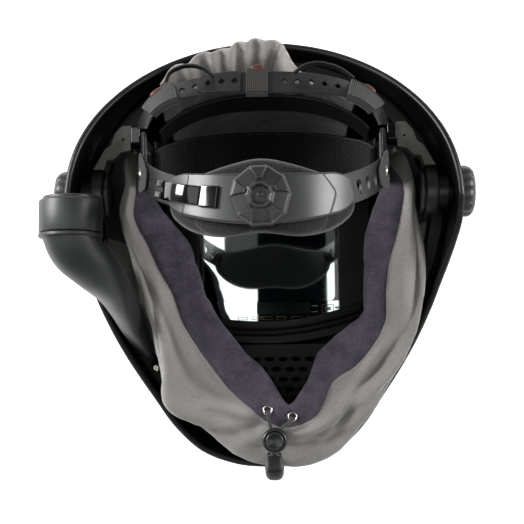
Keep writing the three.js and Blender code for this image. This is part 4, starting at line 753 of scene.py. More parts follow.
def plate_along(name, line, reach, front, back, material, edge=0.5, rows=150, spans=22):
    """A strip with rounded edges along a line.

    Reach is how far it goes below and above the line, front and back how far its faces stand out of it.
    """
    share = np.unique(np.concatenate([EDGE_SHARES, np.linspace(0.015, 0.985, rows), 1 - EDGE_SHARES]))
    points, hints = line(share)
    along, across, out = line_frame(points, hints)
    down, up = reach(share) if callable(reach) else (reach, reach)
    middle = np.broadcast_to((up - down) / 2, share.shape)[:, None]
    half = np.broadcast_to((up + down) / 2, share.shape)[:, None]
    spread = np.sin(np.linspace(-math.pi / 2, math.pi / 2, spans))
    side = middle + half * spread
    length = lengths_along(points)
    room = np.minimum(half * (1 - np.abs(spread)), np.minimum(length, length[-1] - length)[:, None])
    drop = edge - np.sqrt(np.maximum(edge**2 - (edge - np.minimum(room, edge)) ** 2, 0))
    top = (front(share[:, None], side) if callable(front) else front) - drop
    low = (back(share[:, None], side) if callable(back) else back) + drop
    place = points[:, None] + across[:, None] * side[..., None]
    section = np.concatenate([
        place + out[:, None] * top[..., None], (place + out[:, None] * low[..., None])[:, ::-1],
    ], axis=1)
    faces = grid_faces(len(share), 2 * spans, False, True, True)
    wide = np.concatenate([side, side[:, ::-1] + 2 * half], axis=1)
    cut = np.stack([np.repeat(length[:, None], 2 * spans, axis=1), wide], axis=2)
    return outward(build(name, section, faces, material, cut))


def sleeve_along(name, line, half, reach, wall_size, material):
    """A flat tube round a strap: a rounded outside and the slot that the strap runs through."""
    share = np.linspace(0, 1, 28)
    points, hints = line(share)
    _, across, out = line_frame(points, hints)
    angles = bearings(56)
    cos, sin = np.cos(angles), np.sin(angles)
    rings = []
    for inset in (0.0, wall_size):
        wide = np.sign(cos) * np.abs(cos) ** 0.3 * (half - inset)
        thick = np.sign(sin) * np.abs(sin) ** 0.6 * (reach - inset)
        ring = across[:, None] * wide[None, :, None] + out[:, None] * thick[None, :, None]
        rings.append(points[:, None] + ring)
    section = np.concatenate([rings[0], rings[1][::-1]], axis=0)
    return outward(build(name, section, grid_faces(len(section), len(angles), True, True), material))


PUNCH_REACH = 6.0


def punched(piece, holes):
    """Cuts holes through a strip: each is a place, the ways along, across and out, and its outline."""
    points = []
    faces = []
    for place, along, across, out, outline in holes:
        first = len(points)
        count = len(outline)
        for depth in (-PUNCH_REACH, PUNCH_REACH):
            points.extend(place + along * u + across * v + out * depth for u, v in outline)
        faces.append(tuple(first + k for k in reversed(range(count))))
        faces.append(tuple(first + count + k for k in range(count)))
        for k in range(count):
            other = (k + 1) % count
            faces.append((first + k, first + other, first + count + other, first + count + k))
    cutter = outward(build(piece.name + "_holes", points, faces, piece.data.materials[0], flat=True))
    cut = piece.modifiers.new("Holes", "BOOLEAN")
    cut.operation = "DIFFERENCE"
    cut.solver = "EXACT"
    cut.object = cutter
    made = baked(piece, piece.name)
    piece.modifiers.remove(cut)
    piece.data = made
    bpy.data.objects.remove(cutter)
    piece.data.set_sharp_from_angle(angle=math.radians(35))
    return piece


def round_outline(radius, count=20):
    """A circle's corners."""
    return [(radius * math.cos(angle), radius * math.sin(angle)) for angle in bearings(count)]


def rounded_outline(corners, radius, steps=4):
    """A many sided outline with its corners rounded."""
    corners = np.asarray(corners, float)
    places = []
    for k, corner in enumerate(corners):
        before = unit(corners[k - 1] - corner)
        after = unit(corners[(k + 1) % len(corners)] - corner)
        for share in np.linspace(0, 1, steps):
            near = corner + before * radius * (1 - share) ** 2 + after * radius * share**2
            places.append(tuple(near))
    return places


# Shell surface

def outline_places():
    """The shell's widest outline: an arch over the crown and the jaw's table below."""
    half = PLACES_AROUND // 2
    places = []
    for i in range(PLACES_AROUND):
        angle = math.pi * i / half
        if i <= half:
            places.append((SHELL_HALF_WIDTH * math.cos(angle), WIDEST_Y + CROWN_REACH * math.sin(angle)))
        else:
            left = i <= half * 1.5
            row = i - half if left else PLACES_AROUND - i
            wide = (-1 if left else 1) * SHELL_HALF_WIDTH * JAW_WIDE[row]
            places.append((wide, WIDEST_Y - CHIN_REACH * JAW_DOWN[row]))
    return np.array(places)


OUTLINE = outline_places()


def full_outline(where):
    """The widest outline at places around it, counted from the right side over the crown."""
    return smooth_loop(np.arange(PLACES_AROUND), OUTLINE, PLACES_AROUND, np.mod(where, PLACES_AROUND))


def square_outline(where, half_width, half_height, squareness):
    """An outline round the face between an ellipse and a rectangle."""
    angle = 2 * math.pi * where / PLACES_AROUND
    wide = (np.abs(np.cos(angle)) / half_width) ** squareness
    tall = (np.abs(np.sin(angle)) / half_height) ** squareness
    radius = (wide + tall) ** (-1 / squareness)
    return np.stack([radius * np.cos(angle), FACE_Y + radius * np.sin(angle)], axis=1)


def shell_points(where, z):
    """Places on the shell's outer skin at places around it and heights."""
    where = np.asarray(where, float)
    z = np.broadcast_to(np.asarray(z, float), where.shape)
    up = (z - FACE_Z) / SHELL_DEPTH
    slant = np.sin(2 * math.pi * where / PLACES_AROUND)
    side = smooth(SPREAD["up"], SPREAD["side"], up, True)
    crown = smooth(SPREAD["up"], SPREAD["crown"], up, True)
    chin = smooth(SPREAD["up"], SPREAD["chin"], up, True)
    end = np.where(slant > 0, crown, chin)
    share = (side + (end - side) * slant**2)[:, None]
    face = square_outline(where, FACE_HALF_WIDTH, FACE_HALF_HEIGHT, FACE_SQUARENESS)
    flat = face + (full_outline(where) - face) * share
    return np.concatenate([flat, z[:, None]], axis=1)


def rim_height(y):
    """The height of the shell's rim over a place between chin and crown."""
    y = np.asarray(y, float)
    down = smooth(RIM_TO_CHIN["along"], RIM_TO_CHIN["fall"], (WIDEST_Y - y) / CHIN_REACH)
    up = smooth(RIM_TO_CROWN["along"], RIM_TO_CROWN["fall"], (y - WIDEST_Y) / CROWN_REACH)
    return np.where(y < WIDEST_Y, RIM_TOP - RIM_CHIN_DROP * down, RIM_TOP - RIM_CROWN_DROP * up)


def frame_edge(where, inset):
    """Places on the seal frame's middle face: the shell's skin, moved in level."""
    y = full_outline(where)[:, 1]
    height = np.minimum(rim_height(y) - FRAME_DROP, -FRAME_BELOW_PIVOT)
    skin = shell_points(where, height)
    way = full_outline(where + 0.5) - full_outline(where - 0.5)
    out = unit(np.stack([way[:, 1], -way[:, 0]], axis=1))
    skin[:, :2] -= out * np.asarray(inset)
    return skin


def band_points(degrees, outset, y=None):
    """Places on the headband's ellipse: the back of the head is at 90 degrees and the forehead at -90."""
    degrees = np.asarray(degrees, float)
    angle = np.radians(degrees)
    depth = np.where(degrees >= 0, HEAD_BACK, HEAD_FRONT)
    rise = np.where(degrees >= 0, -BAND_BACK_FALL, -BAND_FRONT_RISE)
    height = BAND_SIDE_Y + rise * np.sin(angle) if y is None else np.broadcast_to(y, degrees.shape)
    wide = (HEAD_HALF_WIDTH + outset) * np.cos(angle)
    return np.stack([wide, height, (depth + outset) * np.sin(angle)], axis=1)


# Camera and stage

# The photo was taken almost straight down, from 750 mm above the pivots with a lens of 80 mm.
VIEW = {"away": 750.0, "elevation": 85.0, "aside": 1.3, "roll": 0.7, "lens": 80.0, "right": -1.6, "up": -40.7}


def camera_place():
    """The camera's place and turn."""
    middle = Vector(AXIS * MM)
    tilt = math.radians(90 - VIEW["elevation"])
    aside = math.radians(VIEW["aside"])
    back = Vector((math.sin(aside), -math.sin(tilt) * math.cos(aside), math.cos(tilt) * math.cos(aside)))
    up = Vector((0, 1, 0))
    up = (up - back * up.dot(back)).normalized()
    right = up.cross(back)
    roll = Matrix.Rotation(math.radians(-VIEW["roll"]), 3, back)
    right = roll @ right
    up = roll @ up
    place = middle + back * VIEW["away"] * MM + (right * VIEW["right"] + up * VIEW["up"]) * MM
    turn = Matrix((right, up, back)).transposed().to_4x4()
    turn.translation = place
    return turn


class HelmetColours(bpy.types.PropertyGroup):
    floor: bpy.props.FloatVectorProperty(
        name="Floor", description="Colour of the floor", subtype="COLOR", size=4, default=(0.93, 0.93, 0.93, 1.0))


class HelmetSizes(bpy.types.PropertyGroup):
    cord_diameter: bpy.props.FloatProperty(
        name="Cord", description="Diameter of the draw cord", unit="LENGTH", default=2.5 * MM)
    stitch_pitch: bpy.props.FloatProperty(
        name="Stitch pitch", description="Distance from stitch to stitch in millimetres", default=2.9)


class HELMET_OT_stage(bpy.types.Operator):
    """Makes the floor, the lights, the world and the camera"""

    bl_idname = "helmet.stage"
    bl_label = "Stage"

    def execute(self, context):
        scene = context.scene
        scene.view_settings.view_transform = "Standard"
        scene.view_settings.look = "Medium High Contrast"
        # White paper board: an even, dull, pale ground that brightens what faces it
        material, tree, shader = new_material("paper_floor", "#f2f2f2", 0.9, Specular_IOR_Level=0.1)
        shader.inputs["Base Color"].default_value = scene.helmet_colours.floor
        shader.inputs["Emission Color"].default_value = (1.0, 1.0, 1.0, 1.0)
        shader.inputs["Emission Strength"].default_value = 0.22
        place = put(tree, "ShaderNodeTexCoord").outputs["Object"]
        grain = put(tree, "ShaderNodeTexNoise", None, {"Vector": place, "Scale": 300.0})
        bumped(tree, shader, grain.outputs["Fac"], 0.05, 0.2)
        mesh = bpy.data.meshes.new("floor")
        size = FLOOR_HALF
        corners = [(-size, -size, 0), (size, -size, 0), (size, size, 0), (-size, size, 0)]
        mesh.from_pydata(corners, [], [(0, 1, 2, 3)])
        mesh.materials.append(material)
        floor = shown("floor", mesh)
        world = bpy.data.worlds.new("studio")
        scene.world = world
        world.use_nodes = True
        tree = world.node_tree
        tree.nodes.clear()
        way = put(tree, "ShaderNodeSeparateXYZ", None, {
            "Vector": put(tree, "ShaderNodeTexCoord").outputs["Generated"],
        })
        seen = put(tree, "ShaderNodeMix", {"data_type": "FLOAT"}, {
            "Factor": put(tree, "ShaderNodeLightPath").outputs["Is Glossy Ray"], "A": 0.26,
            "B": ranged(tree, way.outputs["Z"], 0.2, 0.9, 0.5, 0.1),
        })
        light = put(tree, "ShaderNodeBackground", None, {
            "Color": (1.0, 1.0, 1.0, 1.0), "Strength": seen.outputs[0],
        })
        put(tree, "ShaderNodeOutputWorld", None, {"Surface": light.outputs[0]})
        for name, power, size, place, target in LIGHTS:
            data = bpy.data.lights.new(name, "AREA")
            data.energy = power
            data.shape = "RECTANGLE"
            data.size = size[0]
            data.size_y = size[1]
            lamp = shown(name, data)
            lamp.location = place
            facing_way = Vector(target) - Vector(place)
            lamp.rotation_euler = facing_way.to_track_quat("-Z", "Y").to_euler()
        self.card()
        data = bpy.data.cameras.new("camera")
        data.lens = VIEW["lens"]
        data.sensor_width = 36.0
        data.sensor_fit = "HORIZONTAL"
        data.clip_start = 0.01
        camera = shown("camera", data)
        camera.matrix_world = camera_place()
        scene.camera = camera
        return {"FINISHED"}

    def card(self):
        """The photographer's dark card over the camera, which only shows as a reflection."""
        mesh = bpy.data.meshes.new("card")
        corners = [(x, y) for y, row in zip(CARD["y"], (CARD["x"], CARD["x"][::-1])) for x in row]
        mesh.from_pydata([(x * MM, y * MM, CARD["z"] * MM) for x, y in corners], [], [(3, 2, 1, 0)])
        # Black card: dull all over, a dark band where it is mirrored
        material = new_material("black_card", "#050609", 0.9, Specular_IOR_Level=0.0)[0]
        mesh.materials.append(material)
        card = shown("card", mesh)
        for way in ("camera", "shadow", "diffuse", "transmission", "volume_scatter"):
            setattr(card, "visible_" + way, False)


# Soft boxes: two level ones on both sides of the camera, and one at each side of the helmet.
# Their power in watts, size in metres, place, and the place that they face.
LIGHTS = [
    ("over_left", 1.3, (0.6, 0.43), (-0.334, -0.12, 0.96), (-0.334, -0.12, 0.0)),
    ("over_left_far", 0.55, (0.55, 0.2), (-0.36, 0.196, 0.96), (-0.36, 0.196, 0.0)),
    ("over_right", 1.2, (0.6, 0.43), (0.375, -0.12, 0.96), (0.375, -0.12, 0.0)),
    ("side_left", 19.0, (0.5, 0.5), (-1.0, 0.35, 0.7), (0.0, 0.0, 0.1)),
    ("side_right", 11.0, (0.5, 0.5), (1.0, 0.15, 0.65), (0.0, 0.0, 0.1)),
]
# The card's sides and height in millimetres, and half the floor's width in metres.
CARD = {"x": (-33.0, 74.0), "y": (-400.0, 600.0), "z": 955.0}
FLOOR_HALF = 4.0


# Draw cord. The routes' points are places from the foot of the lock.
LOCK_AT = np.array([4.075, -156.866, -45.0])
CORD_ROUTES = {
    "left": [
        (-4.6, 19.6, 5.3), (-4.3, 17, 5.8), (-3.8, 13.4, 5), (-3.1, 10, 3.2), (-2.4, 6.6, 2.25), (-2.1, 3, 2.25),
        (-1.9, -1, 2.25), (-1.9, -4.5, 2.25), (-1.9, -7.6, 2.2), (-1.9, -9.6, 0.9), (-1.9, -10.7, -1.4),
        (-1.9, -11.3, -3.8),
    ],
    "right": [
        (11.9, 15.1, 5.3), (10.8, 13, 5.8), (8.2, 10.5, 5), (5.2, 8.4, 3.2), (2.9, 6.3, 2.25), (1.8, 3, 2.25),
        (1.1, -1, 2.25), (1.1, -4.5, 2.25), (1.1, -7.6, 2.2), (1.1, -9.6, 0.9), (1.1, -10.7, -1.4),
        (1.1, -11.3, -3.8),
    ],
}
GROMMETS = {"left": (-4.6, 20, 3), "right": (12, 15.5, 3)}
LOCK_RADIUS = 8.3
LOCK_HEIGHT = 10.0
LOCK_FLOOR = 4.5
BUTTON_RADIUS = 6.0
PULL_HALF_WIDTH = 6.4
PULL_HALF_DEPTH = 4.0
# The pull from the cords to its round tip: the share of its length, and the size there.
PULL_ROWS = [
    (0.0, 0.62), (0.04, 0.74), (0.14, 0.82), (0.3, 0.87), (0.45, 0.89), (0.52, 0.9), (0.55, 1.0), (0.6, 1.01),
    (0.75, 1.0), (0.88, 0.9), (0.95, 0.72), (0.985, 0.45), (1.0, 0.05),
]


def tube(name, path, radius, sides, material):
    """A round cord along a path, with closed ends and its own map."""
    path = np.asarray(path, float)
    along = unit(np.gradient(path, axis=0))
    side = unit(np.cross(along, [0, 0, 1.0]))
    other = np.cross(along, side)
    angles = np.linspace(0, 2 * math.pi, sides + 1)
    ring = np.cos(angles)[None, :, None] * side[:, None] + np.sin(angles)[None, :, None] * other[:, None]
    cut = np.stack(np.broadcast_arrays(lengths_along(path)[:, None], (angles * radius)[None]), axis=2)
    count = len(path)
    faces = grid_faces(count, sides + 1)
    faces.append(tuple(range(sides)))
    faces.append(tuple((count - 1) * (sides + 1) + j for j in range(sides)))
    return outward(build(name, path[:, None] + radius * ring, faces, material, cut))


class HELMET_OT_draw_cord(bpy.types.Operator):
    """Makes the draw cord's two strands, their grommets, the lock with its button and the end piece"""

    bl_idname = "helmet.draw_cord"
    bl_label = "Draw cord"

    def execute(self, context):
        radius = context.scene.helmet_sizes.cord_diameter / 2 / MM
        waist = LOCK_RADIUS - 0.5
        bore = BUTTON_RADIUS + 0.3
        lock = declared(turned("lock_barrel", [
            (0, 0.2), (5.2, 0.2), (waist, 0.5), (LOCK_RADIUS, 1.2), (LOCK_RADIUS, 3.4), (waist, 3.9), (waist, 4.5),
            (LOCK_RADIUS, 5.0), (LOCK_RADIUS, LOCK_HEIGHT - 1.2), (LOCK_RADIUS - 0.4, LOCK_HEIGHT - 0.3),
            (LOCK_RADIUS - 1.0, LOCK_HEIGHT), (bore, LOCK_HEIGHT), (bore, LOCK_FLOOR), (0, LOCK_FLOOR),
        ], 64, LOCK_AT, (0, 0, 1), finish("lock")), "helmet", "gloss_plastic", "cord_lock")
        low, high = in_millimetres("cord_lock_button")
        foot = np.array([(low[0] + high[0]) / 2, (low[1] + high[1]) / 2, low[2]])
        button = declared(turned("lock_button", [
            (0, 0.05), (BUTTON_RADIUS - 0.2, 0.05), (BUTTON_RADIUS, 0.3), (BUTTON_RADIUS, 4.1),
            (BUTTON_RADIUS - 0.25, 4.7), (BUTTON_RADIUS - 0.8, 5.0), (BUTTON_RADIUS - 1.3, 4.9),
            (BUTTON_RADIUS - 1.7, 4.6), (0, 4.7),
        ], 64, foot, (0, 0, 1), finish("lock")), "lock_button", "gloss_plastic", "cord_lock_button")
        end = self.end_piece()
        for side in ("left", "right"):
            path = resampled(LOCK_AT + np.array(CORD_ROUTES[side], float), 60)
            strand = declared(
                tube("draw_cord_" + side + "_strand", path, radius, 20, finish("cord")),
                "helmet", "cord_textile", "draw_cord_" + side,
            )
            place = LOCK_AT + np.array(GROMMETS[side], float)
            declared(turned("grommet_ring_" + side, [
                (1.9, 0.1), (2.2, 0.75), (2.7, 1.15), (3.2, 0.95), (3.45, 0.4), (3.3, 0.05), (1.9, 0.1),
            ], 48, place, (0, 0, 1), finish("metal")), "helmet", "nickel", "grommet_" + side)
        return {"FINISHED"}

    def end_piece(self):
        """The rounded pull below the lock, with its curved lip."""
        low, high = in_millimetres("cord_end")
        rows = resampled(PULL_ROWS, 50)
        middle = (low[0] + high[0]) / 2
        start = np.array([middle, LOCK_AT[1] - 8.9, LOCK_AT[2] + 0.2])
        stop = np.array([middle, low[1] + 0.5, low[2] + 2.6])
        length = np.linalg.norm(stop - start)
        along = (stop - start) / length
        side = np.array([1.0, 0, 0])
        up = np.cross(side, along)
        up = up if up[2] > 0 else -up
        angles = bearings(48)
        cos, sin = np.cos(angles)[:, None], np.sin(angles)[:, None]
        ring = (
            PULL_HALF_WIDTH * np.sign(cos) * np.abs(cos) ** 0.8 * side
            + PULL_HALF_DEPTH * np.sign(sin) * np.abs(sin) ** 0.8 * up
        )
        points = start + rows[:, None, :1] * length * along + rows[:, None, 1:] * ring[None]
        faces = grid_faces(len(rows), len(angles), False, True, True)
        piece = outward(build("cord_pull", points, faces, finish("lock")))
        return declared(piece, "helmet", "gloss_plastic", "cord_end")


# Shell. The window is the hole in its face, as half width, half height and squareness.
SHELL_PLACES = 288
WINDOW = (58.0, 50.0, 8.0)
CREASE_RISE = 1.3
CREASE_SUNK = 0.9
RIM_LIP = 0.9
# The seal frame's section: how far in from its outer edge, and how high over its middle face.
FLANGE = [
    (0.0, 2.6), (0.35, 3.2), (0.9, 2.6), (1.4, 1.3), (4.0, 1.2), (8.0, 1.1), (8.7, 0.9), (9.0, 0.2),
    (8.8, -0.9), (8.0, -1.2), (0.8, -1.2), (0.1, -0.8),
]


class HELMET_OT_shell(bpy.types.Operator):
    """Makes the outer shell and the frame inside it that carries the face seal"""

    bl_idname = "helmet.shell"
    bl_label = "Shell"

    def execute(self, context):
        where = np.arange(SHELL_PLACES) * PLACES_AROUND / SHELL_PLACES
        height = np.full(SHELL_PLACES, 0.0)
        # The rim's height hangs on how far out it is there, so both are found together in a few rounds.
        for _ in range(12):
            height = rim_height(shell_points(where, height)[:, 1])
        ups = np.concatenate([[0, 0.003, 0.006, 0.012], np.linspace(0.02, 1, 60)])
        grid = [np.concatenate([square_outline(where, *WINDOW), np.full((SHELL_PLACES, 1), FACE_Z)], axis=1)]
        grid += [shell_points(where, FACE_Z + (height - FACE_Z) * share) for share in ups]
        grid = np.stack(grid, axis=1)
        normals = facing(grid, np.s_[0, 30, 0], True)
        up = (grid[..., 2] - FACE_Z) / SHELL_DEPTH
        crease = 0.3 + 0.1 * np.sin(2 * math.pi * where / PLACES_AROUND)[:, None]
        step = CREASE_RISE * ease(crease, crease + 0.02, up) - CREASE_SUNK
        step = np.where(up < 0.05, 0.0, step)
        lip = RIM_LIP * (1 - ease(2.5, 4.0, height[:, None] - grid[..., 2]))
        outer = grid + normals * (step + lip)[..., None]
        inner = grid - normals * SHELL_WALL
        edge = (outer[:, -1:] + inner[:, -1:]) / 2
        edge[..., 2] += RIM_LIP
        section = np.concatenate([outer, edge, inner[:, ::-1]], axis=1)
        faces = grid_faces(SHELL_PLACES, section.shape[1], True, True)
        piece = outward(build("shell_skin", section, faces, finish("shell")))
        declared(piece, "helmet", "shell_nylon", "shell")
        self.seal_frame(where)
        return {"FINISHED"}

    def seal_frame(self, where):
        """The flange inside the shell that the face seal is fixed to."""
        section = np.stack([
            frame_edge(where, FRAME_INSET + inset) + np.array([0, 0, lift]) for inset, lift in FLANGE
        ], axis=1)
        faces = grid_faces(SHELL_PLACES, len(FLANGE), True, True)
        piece = outward(build("seal_frame_flange", section, faces, finish("black")))
        declared(rounded(piece, 0.3, 2), "helmet", "black_plastic", "seal_frame")


# The panel lies under the same mirrored glass as the filter, below its window.
PANEL = {"x": 2.0, "y": -68.2, "wide": 104.0, "tall": 17.8, "top": -128.35}
LIP = {
    "half_width": 70.0, "z": -118.3, "upper": -74.5, "upper_bend": 0.00245, "upper_middle": -5.0,
    "lower": -91.3, "lower_rise": 16.0, "lower_half": 76.0,
}
# The panel's marks: finish, middle, width, height and how far the print stands up.
MARKS = {
    "panel_display": ("display", 10.4, -64.6, 39.4, 8.6, 0.12),
    "panel_readout": ("readout", 43.8, -65.3, 4.4, 2.6, 0.1),
    "panel_readout_edge": ("outline", 43.8, -65.3, 8.8, 6.4, 0.08),
    "panel_tab": ("print", 50.6, -64.6, 2.6, 1.8, 0.08),
    "panel_bar_upper": ("print", 34.0, -63.1, 4.6, 0.8, 0.08),
    "panel_bar_lower": ("print", 34.0, -67.4, 4.6, 0.8, 0.08),
}
KEYS = (-20.0, -9.6, -1.5, 8.7, 20.5, 31.5)
PRINT_LINE = 0.5
PRINT_SUNK = 0.05


class HELMET_OT_lens(bpy.types.Operator):
    """Makes the lens bezel, cover lenses, filter cartridge, control panel, holding frame and chin grille"""

    bl_idname = "helmet.lens"
    bl_label = "Lens"

    def execute(self, context):
        for node, width, look, slot in (
            ("lens_bezel", 0.5, "black", "black_plastic"),
            ("filter_cartridge", 0.8, "black", "black_plastic"),
            ("cartridge_frame", 0.8, "black", "black_plastic"),
            ("chin_grille", 0.35, "grille", "duct_plastic"),
        ):
            declared(from_node(node, node + "_body", width, finish(look)), "helmet", slot, node)
        dress("outer_cover_lens", finish("clear"))
        dress("inner_cover_lens", finish("clear"))
        dress("filter_glass", finish("filter"))
        self.panel()
        self.lip()
        return {"FINISHED"}

    def lip(self):
        """The holding frame's curved lower lip, with the two ridges that run along it."""
        def line(share):
            x, upper, lower = self.lip_edges(share)
            points = np.stack([x, (upper + lower) / 2, np.full(len(x), LIP["z"])], axis=1)
            return points, np.tile([0.0, 1.0, 0.0], (len(x), 1))

        def reach(share):
            _, upper, lower = self.lip_edges(share)
            return (upper - lower) / 2, (upper - lower) / 2

        def face(share, side):
            _, upper, lower = self.lip_edges(share)
            depth = (upper - lower) / 2 - side
            bowl = -1.4 * ease(0.0, 12.0, depth)
            ridges = 0.9 * np.exp(-((depth - 6.0) / 0.6) ** 2) + 0.9 * np.exp(-((depth - 10.2) / 0.6) ** 2)
            return 2.4 + bowl + ridges
        lip = plate_along("frame_lip", line, reach, face, -0.4, finish("black"), 0.7, 160, 70)
        declared(lip, "helmet", "black_plastic")

    def lip_edges(self, share):
        """The lip's x, its upper edge and its lower edge at places along it."""
        x = LIP["half_width"] * (1 - 2 * share)
        upper = LIP["upper"] + LIP["upper_bend"] * (x - LIP["upper_middle"]) ** 2
        return x, upper, LIP["lower"] + LIP["lower_rise"] * (x / LIP["lower_half"]) ** 2

    def panel(self):
        """The control panel: display, outlined keys, a readout and plain marks, all raised by their print."""
        top = PANEL["top"]
        board = self.plate_shape(PANEL["x"], PANEL["y"], PANEL["wide"], PANEL["tall"], top - 0.9, 0.9)
        board = outward(build("panel_board", *board, finish("filter"), flat=True))
        declared(board, "helmet", "gloss_plastic", "control_panel")
        keys = {f"panel_key_{k}": ("outline", x, -71.9, 7.4, 2.6, 0.08) for k, x in enumerate(KEYS)}
        for name, (look, x, y, wide, tall, lift) in {**MARKS, **keys}.items():
            shape = self.frame_shape if look == "outline" else self.plate_shape
            piece = outward(build(name, *shape(x, y, wide, tall, top, lift), finish(look), flat=True))
            declared(piece, "helmet", "gloss_plastic")

    def corners(self, x, y, wide, tall, height):
        """A level rectangle's corners, counter-clockwise."""
        return [(x + u * wide / 2, y + v * tall / 2, height) for u, v in ((-1, -1), (1, -1), (1, 1), (-1, 1))]

    def plate_shape(self, x, y, wide, tall, top, lift):
        """A flat plate's points and faces."""
        points = self.corners(x, y, wide, tall, top - PRINT_SUNK) + self.corners(x, y, wide, tall, top + lift)
        return points, [(3, 2, 1, 0), (4, 5, 6, 7), (0, 1, 5, 4), (1, 2, 6, 5), (2, 3, 7, 6), (3, 0, 4, 7)]

    def frame_shape(self, x, y, wide, tall, top, lift):
        """A printed outline's points and faces."""
        points = []
        for height in (top - PRINT_SUNK, top + lift):
            points += self.corners(x, y, wide, tall, height)
            points += self.corners(x, y, wide - 2 * PRINT_LINE, tall - 2 * PRINT_LINE, height)
        faces = []
        for k in range(4):
            n = (k + 1) % 4
            faces.append((8 + k, 8 + n, 12 + n, 12 + k))
            faces.append((k, 4 + k, 4 + n, n))
            faces.append((k, n, 8 + n, 8 + k))
            faces.append((4 + k, 12 + k, 12 + n, 4 + n))
        return points, faces


# Profiles and rows of the pivots: radius, place along the axis, and how deep the flutes are there.
HUB_X = 99.5
HUB_PROFILE = [
    (0, 0.6), (9.0, 0.6), (10.5, 0.3), (12.8, 0.0), (13.6, 0.25), (14.0, 0.9), (14.0, 2.0), (13.2, 2.3),
    (13.2, 2.9), (15.2, 3.1), (16.0, 3.8), (16.0, 9.8), (15.6, 10.5), (14.0, 10.8), (11.2, 11.4),
    (11.2, 17.4), (10.8, 17.8), (6.3, 17.8), (6.3, 10.0), (0, 10.0),
]
KNOB_ROWS = [
    (0.0, -12.0, 0.0), (5.6, -12.0, 0.0), (6.0, -11.6, 0.0), (6.0, 0.0, 0.0), (14.8, 0.0, 0.3),
    (16.2, 0.5, 0.8), (16.5, 1.4, 1.0), (16.5, 6.4, 1.0), (15.6, 8.6, 1.0), (13.8, 10.2, 0.8),
    (11.6, 10.9, 0.3), (9.4, 10.8, 0.0), (8.6, 10.2, 0.0), (0.0, 10.4, 0.0),
]
FLUTE_DEPTH = 1.3


class HELMET_OT_pivots(bpy.types.Operator):
    """Makes the pivot hubs, knobs, arms and slide blocks on both sides"""

    bl_idname = "helmet.pivots"
    bl_label = "Pivots"

    def execute(self, context):
        for side, sign in (("right", 1.0), ("left", -1.0)):
            self.hub(side, sign)
            self.knob(side, sign)
            arm = from_node("arm_" + side, "arm_plate_" + side, 0.9, finish("arm"))
            declared(arm, "helmet", "arm_plastic", "arm_" + side)
            block = from_node("slide_block_" + side, "slide_block_body_" + side, 0.7, finish("gloss"))
            declared(block, "helmet", "gloss_plastic", "slide_block_" + side)
        return {"FINISHED"}

    def hub(self, side, sign):
        place = (sign * HUB_X, PIVOT_Y, 0)
        piece = turned("hub_drum_" + side, HUB_PROFILE, 96, place, (sign, 0, 0), finish("hub"))
        declared(rounded(piece, 0.15, 2), "helmet", "arm_plastic", "hub_" + side)

    def knob(self, side, sign):
        """The knob outside the shell: a fluted rim, a domed face and its shaft."""
        angles = bearings(200)
        flute = np.abs(np.cos(5 * angles)) ** 0.7
        grid = []
        for radius, height, fluted in KNOB_ROWS:
            reach = radius - FLUTE_DEPTH * fluted * (1 - flute)
            grid.append(np.stack([
                np.full(len(angles), sign * (SHELL_HALF_WIDTH + height)),
                PIVOT_Y + reach * np.cos(angles), reach * np.sin(angles),
            ], axis=1))
        faces = grid_faces(len(grid), len(angles), False, True)
        piece = outward(build("pivot_knob_head_" + side, grid, faces, finish("knob")))
        declared(rounded(piece, 0.4, 2, 30), side + "_knob", "knob_plastic", "pivot_knob_" + side)


TEARDROP = [
    (2.7, 0.4), (2.4, 2.0), (1.5, 3.3), (0.0, 3.8), (-1.5, 3.3), (-2.4, 2.0), (-2.7, 0.4), (-1.9, -2.2),
    (-0.5, -4.9), (0.5, -4.9), (1.9, -2.2),
]
# How far each strip reaches to both sides of its line.
PLATE_REACH = {
    "share": [0, 0.03, 0.08, 0.18, 0.82, 0.92, 0.97, 1],
    "half": [9, 11.5, 13.2, 14, 14, 13.2, 11.5, 9],
}
TAB_REACH = {
    "share": [0, 0.03, 0.12, 0.3, 0.6, 0.85, 0.96, 1],
    "half": [5.5, 8, 10.8, 12, 9.8, 6.8, 5, 3],
}
BAND_HALF_WIDTH = 9.0
BAND_HALF = 0.9
REAR_BAND = (21.1, 88.0)
FRONT_BAND = (-161.9, -18.1)
SWEATBAND = (-168.0, -12.0)


def tabled(table):
    """Reach on both sides of a line, from a table of its halves."""
    def reach(share):
        half = smooth(table["share"], table["half"], share)
        return half, half
    return reach


def sweatband_width(share):
    """The sweatband's width at a share of its length."""
    return 16 + 26 * np.sin(np.pi * share) ** 0.8


